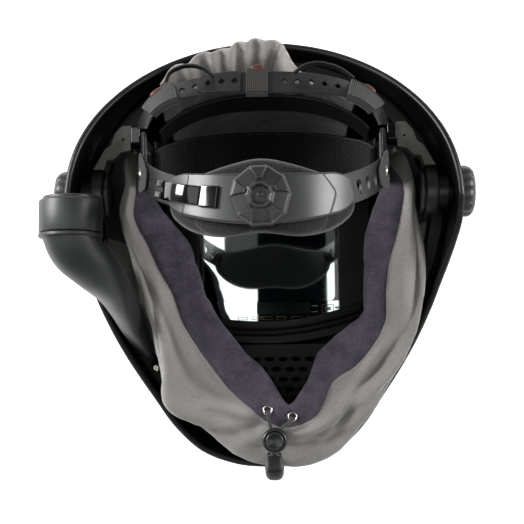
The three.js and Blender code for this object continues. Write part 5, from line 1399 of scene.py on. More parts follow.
class HELMET_OT_headband(bpy.types.Operator):
    """Makes the headband: side plates, front and rear bands, snap tabs and the sweatband"""

    bl_idname = "helmet.headband"
    bl_label = "Headband"

    def execute(self, context):
        strap = finish("strap")
        for side, sign, mirrored in (("right", 1.0, False), ("left", -1.0, True)):
            line = band_line(-17.0, 20.0, 26.0, mirrored)
            plate = plate_along("side_plate_body_" + side, line, tabled(PLATE_REACH), 1.2, -1.2, strap, 0.6, 90)
            declared(plate, "helmet", "strap_plastic", "side_plate_" + side)
            boss = turned("side_plate_boss_" + side, [
                (0, 0.3), (2.4, 0.3), (2.8, 1.0), (6.6, 1.0), (7.6, 0.6), (8.0, 0.0), (8.0, -1.5), (0, -1.5),
            ], 64, (sign * 76.0, 32.0, -6.0), (-sign, 0, 0), finish("hub"))
            declared(rounded(boss, 0.2, 2), "helmet", "strap_plastic")
            start, stop = REAR_BAND
            line = band_line(start, stop, None, mirrored)
            band = plate_along(
                "rear_band_body_" + side, line, BAND_HALF_WIDTH, BAND_HALF, -BAND_HALF, strap, 0.5, 170,
            )
            holes = []
            for degrees in (30.5, 37.0, 43.5, 50.0):
                share = (degrees - start) / (stop - start)
                holes.append((*place_on(line, 1 - share if mirrored else share), TEARDROP))
            declared(punched(band, holes), "helmet", "strap_plastic", "rear_band_" + side)
            self.tab(side, mirrored)
        front = plate_along(
            "front_band_body", band_line(*FRONT_BAND), 15.0, BAND_HALF, -BAND_HALF, strap, 0.5, 240,
        )
        declared(front, "helmet", "strap_plastic", "front_band")
        self.sweatband()
        return {"FINISHED"}

    def tab(self, side, mirrored):
        """The ribbed tab outside a side plate's end, with its snap."""
        line = band_line(10.0, 28.5, None, mirrored)
        table = tabled(TAB_REACH)
        reach = (lambda share: table(1 - share)) if mirrored else table
        tab = plate_along("snap_tab_body_" + side, line, reach, 2.7, 1.5, finish("rib"), 0.5, 70)
        declared(tab, "helmet", "ribbed_textile", "snap_tab_" + side)
        place, _, _, out = place_on(line, 0.55 if mirrored else 0.45)
        snap = turned("tab_snap_" + side, [
            (0, 1.5), (1.3, 1.45), (2.6, 1.1), (3.3, 0.5), (3.5, 0.0), (3.5, -0.4), (0, -0.4),
        ], 48, place + out * 2.7, out, finish("metal"))
        declared(snap, "helmet", "nickel")

    def sweatband(self):
        """The pad inside the front band, widest over the forehead."""
        def reach(share):
            half = sweatband_width(share) / 2
            return half, half

        def inner(share, side):
            places = np.stack(np.broadcast_arrays(share * 230, side, 0 * side), axis=-1)
            return -6.5 + 0.4 * waves(places, 51, 40.0, 1)
        line = band_line(*SWEATBAND)
        pad = plate_along("sweatband_pad", line, reach, -1.5, inner, finish("mesh"), 2.2, 260, 30)
        declared(pad, "helmet", "band_mesh", "sweatband")


DIAMOND = rounded_outline([(-2.5, 0), (0, 3.2), (2.5, 0), (0, -3.2)], 0.5)


# The thin loops of strap that stand above the rear crown strap, from left to right.
STRAP_LOOPS = {
    "left": [
        (-60.5, 70.5, 28.0), (-58.0, 75.5, 30.0), (-50.7, 79.0, 32.0), (-42.6, 79.4, 33.0), (-36.4, 77.6, 33.0),
        (-30.0, 73.0, 31.0),
    ],
    "right": [
        (20.0, 74.0, 32.0), (26.0, 78.0, 33.0), (33.0, 79.8, 33.0), (41.0, 79.0, 32.0), (49.0, 76.5, 30.0),
        (57.0, 71.0, 28.0),
    ],
}
# The rear strap's halves: bearings, and where the first hole is from the middle.
STRAP_HALVES = (("left", 163.8, 97.0, -17.0), ("right", 96.0, 16.2, 14.0))
HOLE_PITCH = 8.3
CROWN_HALF = 0.8
# The oval plate on each sleeve: the size of each ring, and its height.
OVAL_ROWS = ((0.05, 1.6), (0.5, 1.5), (0.8, 1.2), (0.95, 0.7), (1.0, 0.0), (0.95, -0.7), (0.05, -0.9))


class HELMET_OT_crown_straps(bpy.types.Operator):
    """Makes the crown straps and their ribbed sleeves"""

    bl_idname = "helmet.crown_straps"
    bl_label = "Crown straps"

    def execute(self, context):
        strap = finish("strap")
        width, half = BAND_HALF_WIDTH, CROWN_HALF
        for side, start, stop, first in STRAP_HALVES:
            line = crown_line("rear", start, stop)
            pitch = math.copysign(HOLE_PITCH, first)
            holes = [(*place_on(line, share_at(line, first + pitch * k)), DIAMOND) for k in range(6)]
            band = plate_along("crown_strap_body_" + side, line, width, half, -half, strap, 0.5, 220)
            declared(punched(band, holes), "helmet", "strap_plastic", "crown_strap_rear_" + side)
        rear = crown_line("rear", STRAP_HALVES[0][1], STRAP_HALVES[1][2])
        self.tail(rear, strap)
        line = crown_line("front", 159.8, 20.2)
        holes = [(*place_on(line, share_at(line, 10.79 * k)), round_outline(1.7)) for k in range(-3, 4)]
        front = plate_along("crown_strap_front_body", line, width, half, -half, strap, 0.5, 260)
        declared(punched(front, holes), "helmet", "strap_plastic", "crown_strap_front")
        for node, x in (("crown_sleeve", -3.0), ("sleeve_right", 63.55), ("sleeve_left", -63.55)):
            self.sleeve(rear, node, x)
        for side, places in STRAP_LOOPS.items():
            loop = resampled(places, 80)
            plate = plate_along("crown_loop_" + side, lambda share, loop=loop: (
                smooth(np.linspace(0, 1, len(loop)), loop, share), np.tile([0.0, 0.0, 1.0], (len(share), 1)),
            ), 3.5, 0.6, -0.6, strap, 0.4, 70)
            declared(plate, "helmet", "strap_plastic")
        return {"FINISHED"}

    def tail(self, rear, strap):
        """The strap's loose tail, which lies on its left half."""
        line = part_of(rear, share_at(rear, -40.0), share_at(rear, -13.0))
        holes = [(*place_on(line, share_at(line, -17.0 - HOLE_PITCH * k)), DIAMOND) for k in range(3)]

        def reach(share):
            half = BAND_HALF_WIDTH - 3.5 * (1 - ease(0, 0.12, share))
            return half, half
        tail = plate_along("crown_strap_tail", line, reach, 2.1, 1.0, strap, 0.45, 110)
        declared(punched(tail, holes), "helmet", "strap_plastic")

    def sleeve(self, rear, node, x):
        """A ribbed textile loop round the strap, with its ribs and its oval loop plate."""
        total = np.linalg.norm(np.diff(rear(np.linspace(0, 1, 400))[0], axis=0), axis=1).sum()
        middle = share_at(rear, x)
        line = part_of(rear, middle - 9.0 / total, middle + 9.0 / total)
        body = sleeve_along(node + "_body", line, 10.9, 2.7, 1.6, finish("rib"))
        declared(body, "helmet", "ribbed_textile", node)
        points, hints = line(np.linspace(0.03, 0.97, 60))
        _, across, out = line_frame(points, hints)
        ribs = grown(node + "_ribs", points + out * 2.55, across, False, row_tree("Ribs", finish("rib")), {
            "Pitch": 1.15, "Length": 20.0, "Thickness": 0.5,
        }, finish("rib"))
        declared(ribs, "helmet", "ribbed_textile")
        place, along, across, out = place_on(line, 0.5)
        centre = place - across * 10.4 + out * 2.2
        angles = bearings(40)[:, None]
        ring = np.cos(angles) * along * 4.6 + np.sin(angles) * across * 2.1
        rows = [centre + ring * size + out * height for size, height in OVAL_ROWS]
        oval = outward(build(node + "_oval", rows, grid_faces(len(rows), 40, False, True), finish("oval")))
        declared(oval, "helmet", "gloss_plastic")


HOUSING_REACH = {
    "share": [0, 0.012, 0.035, 0.08, 0.16, 0.25, 0.5, 0.75, 0.84, 0.92, 0.965, 0.988, 1],
    "half": [3.5, 6.2, 8.6, 11.0, 12.2, 13.0, 14.0, 13.0, 12.2, 11.0, 8.6, 6.2, 3.5],
}
PAD_REACH = {
    "share": [0, 0.012, 0.035, 0.08, 0.17, 0.3, 0.5, 0.7, 0.83, 0.92, 0.965, 0.988, 1],
    "up": [-2.0, 1.5, 4.2, 7.4, 12.0, 18.4, 23.4, 18.4, 12.0, 7.4, 4.2, 1.5, -2.0],
    "down": [8.0, 11.5, 14.4, 17.0, 20.0, 21.0, 17.6, 21.0, 20.0, 17.0, 14.4, 11.5, 8.0],
}
PIPING_RADIUS = 0.9
# The ratchet knob: radius and height, half the angle of its long sides and of a fifth of a turn.
RATCHET_RADIUS = 17.2
RATCHET_HEIGHT = 12.0
LONG_SIDE = 17.0
HALF_FIFTH = 36.0


class HELMET_OT_ratchet(bpy.types.Operator):
    """Makes the ratchet: its housing, knob, band clip and rear pad"""

    bl_idname = "helmet.ratchet"
    bl_label = "Ratchet"

    def execute(self, context):
        housing = plate_along(
            "ratchet_housing_body", band_line(52.0, 130.0), tabled(HOUSING_REACH), self.plate, 1.2,
            finish("ratchet"), 1.3, 300, 40,
        )
        housing.data.set_sharp_from_angle(angle=math.radians(40))
        declared(housing, "helmet", "ratchet_plastic", "ratchet_housing")
        self.pad()
        self.clip()
        self.knob()
        return {"FINISHED"}

    def plate(self, share, side):
        """The housing's face: a raised plate, pointed at its right end and straight at its left."""
        point = 0.114 + 0.056 * (np.abs(side) / 12.0) ** 1.2
        raised = ease(point - 0.005, point + 0.005, share) * (1 - ease(0.861, 0.871, share))
        return 7.0 + 1.0 * raised

    def pad(self):
        """The pad behind the head, with its two raised ovals and the piping round it."""
        line = band_line(46.0, 134.0)

        def reach(share):
            return tuple(smooth(PAD_REACH["share"], PAD_REACH[way], share) for way in ("down", "up"))

        def face(share, side):
            height = np.full(np.broadcast(share, side).shape, -1.4)
            for middle in (0.33, 0.67):
                oval = 1 - ((share - middle) / 0.15) ** 2 - ((side + 13.0) / 8.5) ** 2
                height = height + 2.3 * np.sqrt(np.maximum(oval, 0)) * ease(0.0, 0.12, oval)
            places = np.stack(np.broadcast_arrays(share * 140, side, 0 * side), axis=-1)
            return height + 0.3 * waves(places, 61, 34.0, 1)
        pad = plate_along("rear_pad_body", line, reach, face, -7.2, finish("pad"), 2.4, 260, 48)
        declared(pad, "helmet", "band_mesh", "rear_pad")
        share = np.linspace(0.004, 0.996, 220)
        points, hints = line(share)
        _, across, out = line_frame(points, hints)
        down, up = reach(share)
        above = points + across * (up - 0.4)[:, None] - out * 2.6
        below = points - across * (down - 0.4)[:, None] - out * 2.6
        loop = resampled(np.concatenate([above, below[::-1]]), 420, True)
        way = unit(np.roll(loop, -1, axis=0) - np.roll(loop, 1, axis=0))
        side = unit(np.cross(way, [0.0, 0.0, 1.0]))[:, None]
        angles = bearings(12)[None, :, None]
        ring = np.cos(angles) * side + np.sin(angles) * np.cross(way, side[:, 0])[:, None]
        faces = grid_faces(len(loop), 12, True, True)
        points = loop[:, None] + PIPING_RADIUS * ring
        piping = outward(build("rear_pad_piping", points, faces, finish("binding")))
        declared(piping, "helmet", "band_mesh")

    def clip(self):
        """The band's glossy clip: an arched tongue, the square catch beside it and two posts at its end."""
        gloss = finish("gloss")
        tongue = plate_along(
            "band_clip_tongue", band_line(112.8, 129.6), 5.4,
            lambda share, side: 10.1 + 3.2 * np.sin(np.pi * share) - 0.4 * (side / 5.4) ** 2,
            lambda share, side: 8.3 + 3.2 * np.sin(np.pi * share), gloss, 0.6, 90,
        )
        declared(tongue, "helmet", "gloss_plastic", "band_clip")
        line = band_line(105.6, 112.4)
        square = rounded_outline([(-2.9, -2.9), (2.9, -2.9), (2.9, 2.9), (-2.9, 2.9)], 0.6)
        catch = plate_along("band_clip_catch", line, 6.2, 10.2, 8.2, gloss, 0.6, 60)
        declared(punched(catch, [(*place_on(line, 0.5), square)]), "helmet", "gloss_plastic")
        for k, lift in enumerate((-3.3, 3.3)):
            post = plate_along(
                f"band_clip_post_{k}", band_line(130.0, 133.4),
                lambda share, lift=lift: (1.9 - lift, 1.9 + lift), 10.6, 4.0, gloss, 0.7, 30,
            )
            declared(post, "helmet", "gloss_plastic")

    def knob(self):
        """Five raised lugs round a dished hub, with a ten sided outline."""
        low, high = in_millimetres("ratchet_knob")
        centre = np.array([0.0, (low[1] + high[1]) / 2, high[2] - RATCHET_HEIGHT])
        angles = bearings(240)
        off = (np.degrees(angles) - 93 + HALF_FIFTH) % (2 * HALF_FIFTH) - HALF_FIFTH
        radius = RATCHET_RADIUS
        short = HALF_FIFTH - LONG_SIDE
        reach = np.where(
            np.abs(off) < LONG_SIDE,
            radius * math.cos(math.radians(LONG_SIDE)) / np.cos(np.radians(off)),
            radius * math.cos(math.radians(short)) / np.cos(np.radians(np.abs(off) - HALF_FIFTH)),
        )
        radii = [*np.linspace(0, 8, 17), *np.linspace(8.4, 15, 18), 15.6, 16.2, 16.7, 17.0, radius]
        rings = []
        for r in radii:
            share = r / radius
            rise = RATCHET_HEIGHT - 2.6 * share**2
            rise -= 1.7 * (1 - ease(4.2, 5.6, r)) - 0.5 * (1 - ease(1.0, 1.7, r))
            rise += 0.9 * ease(5.4, 6.4, r) * (1 - ease(7.0, 8.2, r))
            width = 10.0 + 7.0 * ease(8.0, 16.5, r)
            lug = 1.3 * (1 - ease(width - 2.2, width + 0.6, np.abs(off))) * ease(8.4, 9.6, r)
            drop = 2.2 * ease(15.4, radius, r) ** 2
            rings.append((r * reach / radius, rise + lug - drop))
        rings += [(reach, 5.5), (reach, 2.0), (reach * 0.965, 0.6), (reach * 0.965, 0.0)]
        rings += [(3.0, 0.0), (3.0, -5.0), (0.0, -5.0)]
        cos, sin = np.cos(angles), np.sin(angles)
        grid = [
            np.stack([flat * cos, flat * sin, np.broadcast_to(height, cos.shape)], axis=1)
            for flat, height in rings
        ]
        faces = grid_faces(len(grid), len(angles), False, True)
        piece = outward(build("ratchet_knob_head", np.stack(grid, axis=0) + centre, faces, finish("knob")))
        piece.data.set_sharp_from_angle(angle=math.radians(38))
        declared(piece, "ratchet", "knob_plastic", "ratchet_knob")


# Air duct: sections from the collar's foot to the tongue's end.
DUCT = {
    "inward": [0.0, 0.08, 0.33, 0.58, 0.72, 0.8, 0.89, 1.0],
    "along": [0.0, 0.11, 0.26, 0.43, 0.6, 0.75, 0.88, 1.0],
    "fall": [0.0, 0.03, 0.16, 0.38, 0.57, 0.74, 0.88, 1.0],
    "wide": [1.0, 0.96, 0.82, 0.62, 0.52, 0.45, 0.36, 0.27],
    "deep": [1.0, 1.0, 1.0, 0.95, 0.72, 0.5, 0.34, 0.2],
}
COLLAR = {"x": -115.5, "z": 52.0, "foot": -26.5, "length": 22.0, "radius": 19.0, "bore": 15.5}
DUCT_RADIUS = 18.0
DUCT_REACH = 70.0
DUCT_WALL = 2.0
DUCT_HOLLOW_ROWS = 40


class HELMET_OT_air_duct(bpy.types.Operator):
    """Makes the air duct, its inlet collar and the ball headed screw"""

    bl_idname = "helmet.air_duct"
    bl_label = "Air duct"

    def execute(self, context):
        self.duct()
        place = (COLLAR["x"], COLLAR["foot"], COLLAR["z"])
        radius, length, bore = COLLAR["radius"], COLLAR["length"], COLLAR["bore"]
        collar = turned("inlet_collar_ring", [
            (bore, 0.1), (radius - 0.8, 0.1), (radius - 0.3, 0.35), (radius, 1.0), (radius, length - 3.2),
            (radius - 0.2, length - 2.6), (radius - 0.9, length - 2.1), (bore + 1.5, length - 2.0),
            (bore + 1.2, length - 1.6), (bore + 1.1, length - 0.3), (bore + 0.7, length), (bore + 0.3, length),
            (bore, length - 0.4), (bore, 0.1),
        ], 120, place, (0, 1, 0), finish("duct"))
        declared(rounded(collar, 0.2, 2), "helmet", "duct_plastic", "inlet_collar")
        flange = turned("duct_flange", [
            (17.2, -0.25), (18.9, -0.25), (19.3, -0.6), (19.3, -2.1), (18.9, -2.7), (17.2, -2.9), (17.2, -0.25),
        ], 120, place, (0, 1, 0), finish("duct"))
        declared(rounded(flange, 0.15, 2), "helmet", "duct_plastic")
        low, high = in_millimetres("duct_screw")
        screw = turned("ball_screw", [
            (0, -3.0), (1.2, -2.8), (2.3, -2.0), (2.9, -0.8), (3.0, 0.3), (2.6, 1.6), (1.9, 2.4), (1.1, 2.85),
            (0.9, 2.6), (0.8, 1.6), (0, 1.5),
        ], 48, (low + high) / 2, (0, 0, 1), finish("metal"))
        declared(screw, "helmet", "nickel", "duct_screw")
        return {"FINISHED"}

    def duct(self):
        """The duct from the collar down to its flat tongue, hollow in its upper part."""
        end_z = in_millimetres("air_duct")[0][2] + 0.2 * DUCT_RADIUS
        start = np.array([COLLAR["x"], COLLAR["foot"] - 0.3, COLLAR["z"]])
        stop_y = COLLAR["foot"] - 0.3 - DUCT_REACH
        half = PLACES_AROUND // 2
        line = frame_edge(np.linspace(half, 1.5 * half, 200), FRAME_INSET + 0.8 * FRAME_WIDTH)
        stop_x = np.interp(-stop_y, -line[:, 1], line[:, 0])
        stop = np.array([stop_x, stop_y, end_z])
        knots = np.arange(len(DUCT["wide"]))
        places = np.linspace(0, len(knots) - 1, 70)
        table = {key: smooth(knots, column, places) for key, column in DUCT.items()}
        points = np.stack([
            start[0] + (stop[0] - start[0]) * table["inward"],
            start[1] + (stop[1] - start[1]) * table["along"],
            start[2] + (stop[2] - start[2]) * table["fall"],
        ], axis=1)
        near = (1 - ease(0.6, 1.6, places))[:, None]
        along = unit(near * np.array([0, -1.0, 0]) + (1 - near) * unit(np.gradient(points, axis=0)))
        across = unit(np.cross([0, 0, 1.0], along))
        deep = np.cross(along, across)
        angles = bearings(96)
        squash = 1 + 0.05 * np.cos(4 * angles) * ease(1.5, 3.5, places)[:, None]
        seam = 0.5 * np.exp(-((np.degrees(angles) - 205) / 2.2) ** 2)
        centre = points[:, None]
        wide = (table["wide"] * DUCT_RADIUS)[:, None] * squash * np.cos(angles)
        tall = (table["deep"] * DUCT_RADIUS)[:, None] * squash * np.sin(angles)
        grid = centre + wide[..., None] * across[:, None] + tall[..., None] * deep[:, None]
        grid = grid + (grid - centre) / DUCT_RADIUS * seam[None, :, None]
        inner = centre + (grid - centre) * (1 - DUCT_WALL / DUCT_RADIUS)
        section = np.concatenate([inner[:DUCT_HOLLOW_ROWS][::-1], grid], axis=0)
        faces = grid_faces(len(section), len(angles), False, True, True)
        piece = outward(build("air_duct_body", section, faces, finish("duct")))
        piece.data.set_sharp_from_angle(angle=math.radians(40))
        declared(piece, "helmet", "duct_plastic", "air_duct")


# Face seal. Each row is a direction from the middle of the opening in degrees, with the reach and
# the drop of the fleece's free edge, the sewn seam and the cloth's outer crest.
SEAL_X = 10.0
SEAL_Y = -60.0
SEAL_REACH = 120.0
SEAL_DROP = 75.0
SEAL = [
    (40, 0.667, 0.867, 0.942, 0.04, 0.05, 0.11),
    (30, 0.533, 0.733, 0.842, 0.03, 0.01, 0.0),
    (15, 0.475, 0.596, 0.79, 0.08, 0.07, 0.0),
    (0, 0.458, 0.558, 0.76, 0.16, 0.15, 0.05),
    (-15, 0.467, 0.575, 0.75, 0.2, 0.19, 0.11),
    (-30, 0.408, 0.567, 0.758, 0.27, 0.25, 0.27),
    (-45, 0.383, 0.558, 0.775, 0.37, 0.35, 0.4),
    (-60, 0.4, 0.55, 0.833, 0.45, 0.44, 0.61),
    (-75, 0.525, 0.692, 0.915, 0.56, 0.56, 0.81),
    (-88, 0.625, 0.733, 0.965, 0.61, 0.61, 0.88),
    (-98, 0.5, 0.7, 0.96, 0.59, 0.61, 0.87),
    (-106, 0.433, 0.65, 0.94, 0.56, 0.57, 0.84),
    (-120, 0.4, 0.592, 0.87, 0.49, 0.51, 0.73),
    (-135, 0.371, 0.55, 0.875, 0.4, 0.41, 0.51),
    (-150, 0.375, 0.542, 0.775, 0.29, 0.29, 0.29),
    (-165, 0.392, 0.558, 0.72, 0.21, 0.2, 0.16),
    (-180, 0.425, 0.583, 0.745, 0.13, 0.12, 0.04),
    (-190, 0.45, 0.654, 0.795, 0.08, 0.07, 0.0),
    (-200, 0.504, 0.758, 0.885, 0.04, 0.03, 0.0),
    (-208, 0.583, 0.885, 0.98, 0.02, 0.01, 0.03),
    (-214, 0.767, 0.94, 1.015, 0.05, 0.05, 0.08),
]
FOREHEAD_TURNS = [-170, -152, -132, -111, -90, -69, -48, -28, -10]
FOREHEAD = {"edge": 4.5, "seam": 7.5, "crest": 15.0, "root": 19.0}
FOREHEAD_LOW_Y = 9.0
FOREHEAD_HIGH_Y = 42.0


def seal_ray(turn, reach, drop):
    """The place at a turn, reach and drop from the middle of the face opening."""
    angle = math.radians(turn)
    radius = reach * SEAL_REACH
    return np.array([SEAL_X + radius * math.cos(angle), SEAL_Y + radius * math.sin(angle), -drop * SEAL_DROP])


def seal_stations():
    """Rows round the face opening: root, hip, crest, panel, seam, edge and back of the edge."""
    line = frame_edge(np.linspace(0, PLACES_AROUND, 961)[:-1], FRAME_INSET + FRAME_WIDTH + 2.2)
    bearings = np.degrees(np.arctan2(line[:, 1] - SEAL_Y, line[:, 0] - SEAL_X))
    rows = []
    for turn, edge, seam, crest, edge_drop, seam_drop, crest_drop in SEAL:
        top = seal_ray(turn, crest, crest_drop)
        sewn = seal_ray(turn, seam, seam_drop)
        free = seal_ray(turn, edge, edge_drop)
        root = line[np.argmin(np.abs((bearings - turn + 540) % 360 - 180))]
        middle = np.array([SEAL_X, SEAL_Y])
        inside = np.linalg.norm(top[:2] - middle) < np.linalg.norm(root[:2] - middle)
        hip = root + (top - root) * (0.9 if inside else 0.55)
        hip[2] = root[2] + (top[2] - root[2]) * (0.25 if inside else 0.55)
        panel = top + (sewn - top) * 0.45 + np.array([0, 0, 3.0])
        back = seal_ray(turn, edge + 4.5 / SEAL_REACH, edge_drop + 7.0 / SEAL_DROP)
        rows.append([root, hip, top, panel, sewn, free, back])
    for turn in FOREHEAD_TURNS:
        low = FOREHEAD_LOW_Y + (FOREHEAD_HIGH_Y - FOREHEAD_LOW_Y) * math.sin(math.radians(-turn))
        root = band_points([turn], FOREHEAD["root"], low + 19)[0]
        crest = band_points([turn], FOREHEAD["crest"], low + 15)[0]
        sewn = band_points([turn], FOREHEAD["seam"], low + 6)[0]
        free = band_points([turn], FOREHEAD["edge"], low)[0]
        back = band_points([turn], FOREHEAD["edge"] + 4.5, low - 4.5)[0]
        rows.append([root, (root + crest) / 2, crest, crest + (sewn - crest) * 0.45, sewn, free, back])
    return np.array(rows)


# Folds of the grey cloth: each runs along the seal from one direction to another, and from one place across
# it to another, where 0 is the seam, 1 the outer crest and 1.8 the root.
FOLDS = [
    {"from": 34, "at": 0.75, "to": -58, "by": 0.3, "width": 0.15, "depth": -6.45},
    {"from": 12, "at": 0.35, "to": -66, "by": 0.72, "width": 0.17, "depth": 4.5},
    {"from": -18, "at": 1.0, "to": -84, "by": 0.25, "width": 0.11, "depth": -4.5},
    {"from": -30, "at": 0.12, "to": -80, "by": 0.5, "width": 0.09, "depth": 2.4},
    {"from": -48, "at": 0.6, "to": -88, "by": 0.08, "width": 0.12, "depth": 3.9},
    {"from": -56, "at": 1.1, "to": -96, "by": 0.5, "width": 0.13, "depth": 3.6},
    {"from": -62, "at": 0.75, "to": -92, "by": 0.3, "width": 0.08, "depth": -3.0},
    {"from": -98, "at": 0.1, "to": -122, "by": 0.85, "width": 0.12, "depth": -4.65},
    {"from": -100, "at": 0.35, "to": -146, "by": 0.85, "width": 0.14, "depth": 4.5},
    {"from": -104, "at": 0.05, "to": -128, "by": 0.45, "width": 0.08, "depth": 2.85},
    {"from": -112, "at": 0.25, "to": -200, "by": 0.55, "width": 0.13, "depth": -3.45},
    {"from": -140, "at": 0.9, "to": -190, "by": 0.45, "width": 0.12, "depth": -3.3},
    {"from": -150, "at": 0.6, "to": -214, "by": 0.3, "width": 0.16, "depth": 3.45},
]
SEAL_PLACES = 420
CLOTH_ROWS = 56
FLEECE_ROWS = 40
COVER_PLACES = 260
COVER_ROWS = 60
CLOTH_HALF = 0.7
FLEECE_HALF = 1.2


class HELMET_OT_face_seal(bpy.types.Operator):
    """Makes the face seal's grey cloth, its fleece edge and the stitches between them"""

    bl_idname = "helmet.face_seal"
    bl_label = "Face seal"

    def execute(self, context):
        stations = seal_stations()
        crest = stations[:, 2]
        gaps = np.linalg.norm(np.roll(crest, -1, axis=0) - crest, axis=1)
        knots = np.concatenate([[0], np.cumsum(gaps)])
        where = np.linspace(0, knots[-1], SEAL_PLACES, endpoint=False)
        flat = stations.reshape(len(stations), -1)
        lines = smooth_loop(knots[:-1], flat, knots[-1], where).reshape(SEAL_PLACES, 7, 3)
        behind = [SEAL[-1][0] - 8 * (k + 1) for k in range(len(FOREHEAD_TURNS))]
        turns = np.interp(where, knots, [row[0] for row in SEAL] + behind + [SEAL[0][0] - 360])
        grid = self.cloth(lines, turns)
        self.fleece(lines)
        self.stitches(context, grid)
        return {"FINISHED"}

    def cloth(self, lines, turns):
        """The grey cloth from the frame over its crest to the seam, with its folds and puckers, and painted shade
        on its root at the top.
        """
        grid = spanned(lines[:, :5], [0.0, 0.3, 0.55, 0.78, 1.0], CLOTH_ROWS)
        normals = facing(grid, np.s_[:, 30, 2], True)
        share = np.linspace(0, 1, CLOTH_ROWS)[None]
        lift = np.zeros(grid.shape[:2])
        out = (1 - share) / 0.55
        for fold in FOLDS:
            gone = (turns[:, None] - fold["from"]) / (fold["to"] - fold["from"])
            middle = fold["at"] + (fold["by"] - fold["at"]) * gone
            fade = ease(-0.12, 0.2, gone) * (1 - ease(0.8, 1.12, gone))
            lift += fold["depth"] * np.exp(-((out - middle) / fold["width"]) ** 2) * fade
        lift *= 1 - 0.65 * ease(0.85, 1.25, out)
        lift += 0.6 * waves(grid, 11, 60.0) + 0.35 * waves(grid, 13, 19.0)
        pucker = np.exp(-((share - 1.0) / 0.06) ** 2)
        lift += 0.3 * waves(grid, 17, 7.0) * pucker
        lift *= ease(0.0, 0.16, share) * (1 - 0.75 * ease(0.93, 1.0, share))
        lift *= ease(-320, -240, turns)[:, None] * 0.9 + 0.1
        grid = grid + normals * lift[..., None]
        piece = wall("face_seal_cloth", grid, CLOTH_HALF, -CLOTH_HALF, finish("twill"), True)
        # Painted shade: the darker twill goes on the root side of the cloth round the top of the seal, near the
        # forehead, where it lies in shadow.
        high = (turns > 26) | (turns < -198)
        paint_shade_on(piece, grid.shape, high[:, None] & (share < 0.4), finish("lining"))
        declared(piece, "helmet", "grey_twill", "face_seal")
        return grid

    def fleece(self, lines):
        """The fleece from the seam over its free edge and a little back under it."""
        seam, free, back = lines[:, 4], lines[:, 5], lines[:, 6]
        middle = (seam + free) / 2
        start = seam - unit(free - seam) * 0.4
        rows = np.stack([start, middle, free + unit(free - middle) * 0.6, back], axis=1)
        grid = spanned(rows, [0.0, 0.4, 0.75, 1.0], FLEECE_ROWS)
        normals = facing(grid, np.s_[:, 12, 2], True)
        share = np.linspace(0, 1, FLEECE_ROWS)[None]
        puff = 1.6 * np.sin(np.pi * np.clip(share / 0.75, 0, 1)) ** 0.7
        lift = puff + 0.45 * waves(grid, 23, 44.0) + 0.3 * waves(grid, 29, 12.0)
        lift += 0.2 * waves(grid, 31, 2.6)
        lift *= ease(0.0, 0.08, share)
        grid = grid + normals * lift[..., None]
        piece = wall("fleece_edge_cloth", grid, FLEECE_HALF, -FLEECE_HALF, finish("fleece"), True)
        declared(piece, "helmet", "fleece", "fleece_edge")

    def stitches(self, context, grid):
        """The stitches along the seam, on the cloth's third row from it."""
        line = grid[:, -3] + facing(grid, np.s_[:, 30, 2], True)[:, -3] * 0.8
        ways = np.roll(line, -1, axis=0) - np.roll(line, 1, axis=0)
        row = row_tree("Seam Stitches", finish("thread"))
        piece = grown("seal_stitches", line, ways, True, row, {
            "Pitch": context.scene.helmet_sizes.stitch_pitch, "Length": 2.0,
        }, finish("thread"))
        declared(piece, "helmet", "grey_twill")


# The head cover from left to right: places across as shares of its half width, and its height as shares
# of the crest.
COVER_ACROSS = [-1.0, -0.85, -0.7, -0.55, -0.4, -0.25, 0.0, 0.2, 0.3, 0.42, 0.68, 0.9]
COVER_RISE = [0.8, 0.92, 0.96, 1.02, 1.03, 1.08, 1.1, 1.05, 0.93, 0.82, 0.74, 0.66]
COVER_HALF = 66.0
COVER_CREST = 93.0
# Folds of the head cover from left to right: place and width as shares of its half width, depth and lean.
COVER_FOLDS = [
    {"at": -0.86, "width": 0.07, "depth": 1.6, "lean": 0.1},
    {"at": -0.74, "width": 0.05, "depth": -1.8, "lean": 0.16},
    {"at": -0.62, "width": 0.075, "depth": 2.2, "lean": 0.1},
    {"at": -0.5, "width": 0.04, "depth": -2.0, "lean": 0.05},
    {"at": -0.41, "width": 0.05, "depth": 1.8, "lean": 0.08},
    {"at": -0.32, "width": 0.035, "depth": -2.1, "lean": -0.04},
    {"at": -0.24, "width": 0.045, "depth": 1.7, "lean": -0.08},
    {"at": -0.15, "width": 0.03, "depth": -1.7, "lean": -0.1},
    {"at": -0.07, "width": 0.05, "depth": 1.9, "lean": -0.06},
    {"at": 0.04, "width": 0.04, "depth": -1.2, "lean": -0.1},
    {"at": 0.13, "width": 0.09, "depth": 0.9, "lean": -0.05},
]


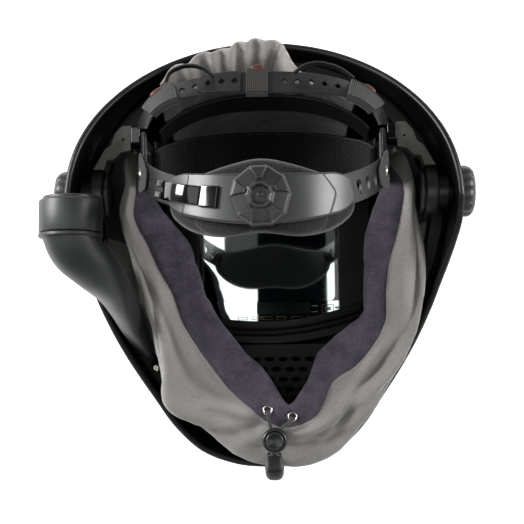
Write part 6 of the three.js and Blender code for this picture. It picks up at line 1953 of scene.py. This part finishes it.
class HELMET_OT_head_cover(bpy.types.Operator):
    """Makes the cloth over the crown, with its gathers and its diagonal seam"""

    bl_idname = "helmet.head_cover"
    bl_label = "Head cover"

    def execute(self, context):
        front = crown_points("front", np.linspace(5, 175, 400))
        start, stop = SWEATBAND
        rows = []
        for across, rise in zip(COVER_ACROSS, COVER_RISE):
            x = across * COVER_HALF
            turn = -math.degrees(math.acos(x / HEAD_HALF_WIDTH))
            foot = band_points([turn], -4.0)[0]
            foot[1] += sweatband_width((stop - turn) / (stop - start)) / 2 + 1.4
            crest = np.array([x, rise * COVER_CREST, 7.0])
            top = front[np.argmin(np.abs(front[:, 0] - x))]
            high = np.array([x, top[1] + 6.5, top[2] + 9.0])
            low = foot + (high - foot) * 0.45
            low[1] += 2
            shoulder = np.array([x, max(rise * COVER_CREST * 0.9, high[1] + 1), -4.0])
            rows.append([foot, low, high, shoulder, crest])
        where = np.linspace(COVER_ACROSS[0], COVER_ACROSS[-1], COVER_PLACES)
        lines = smooth(COVER_ACROSS, np.reshape(rows, (len(rows), -1)), where).reshape(COVER_PLACES, 5, 3)
        grid = spanned(lines, [0, 0.3, 0.55, 0.8, 1.0], COVER_ROWS)
        normals = facing(grid, np.s_[:, 50, 1])
        share = np.linspace(0, 1, COVER_ROWS)[None]
        x = where[:, None]
        lift = 0.7 * waves(grid, 41, 32.0) + 0.3 * waves(grid, 43, 11.0)
        for fold in COVER_FOLDS:
            line = fold["at"] + fold["lean"] * (1 - share)
            lift += fold["depth"] * np.exp(-((x - line) / fold["width"]) ** 2) * ease(0.35, 0.8, share)
        seam = 0.1 + 0.35 * (share - 0.75)
        lift += 0.5 * np.exp(-((x - seam) / 0.012) ** 2) * ease(0.55, 0.6, share)
        lift *= ease(0.0, 0.15, share)
        grid = grid + normals * lift[..., None]
        piece = wall("head_cover_cloth", grid, CLOTH_HALF, -CLOTH_HALF, finish("cover"))
        # Painted shade: the darker twill goes on the lower part of the cover, toward its foot by the sweatband,
        # under the straps where it lies in shadow.
        paint_shade_on(piece, grid.shape, np.broadcast_to(share < 0.68, grid.shape[:2]), finish("lining"))
        declared(piece, "helmet", "cover_twill", "head_cover")
        return {"FINISHED"}


PIECES = [
    HELMET_OT_stage, HELMET_OT_draw_cord, HELMET_OT_shell, HELMET_OT_lens, HELMET_OT_pivots, HELMET_OT_headband,
    HELMET_OT_crown_straps, HELMET_OT_ratchet, HELMET_OT_air_duct, HELMET_OT_face_seal, HELMET_OT_head_cover,
]


class HELMET_PT_pieces(bpy.types.Panel):
    """Lists the helmet's operators"""

    bl_idname = "HELMET_PT_pieces"
    bl_label = "Welding helmet"
    bl_space_type = "VIEW_3D"
    bl_region_type = "UI"
    bl_category = "Helmet"

    def draw(self, context):
        for piece in PIECES:
            self.layout.operator(piece.bl_idname)
        self.layout.prop(context.scene.helmet_colours, "floor")
        self.layout.prop(context.scene.helmet_sizes, "cord_diameter")
        self.layout.prop(context.scene.helmet_sizes, "stitch_pitch")


CLASSES = [HelmetColours, HelmetSizes, *PIECES, HELMET_PT_pieces]


def register():
    for entry in CLASSES:
        bpy.utils.register_class(entry)
    bpy.types.Scene.helmet_colours = bpy.props.PointerProperty(type=HelmetColours)
    bpy.types.Scene.helmet_sizes = bpy.props.PointerProperty(type=HelmetSizes)


def unregister():
    del bpy.types.Scene.helmet_sizes
    del bpy.types.Scene.helmet_colours
    for entry in reversed(CLASSES):
        bpy.utils.unregister_class(entry)


def main():
    register()
    for piece in PIECES:
        group, name = piece.bl_idname.split(".")
        getattr(getattr(bpy.ops, group), name)()


if __name__ == "__main__":
    main()
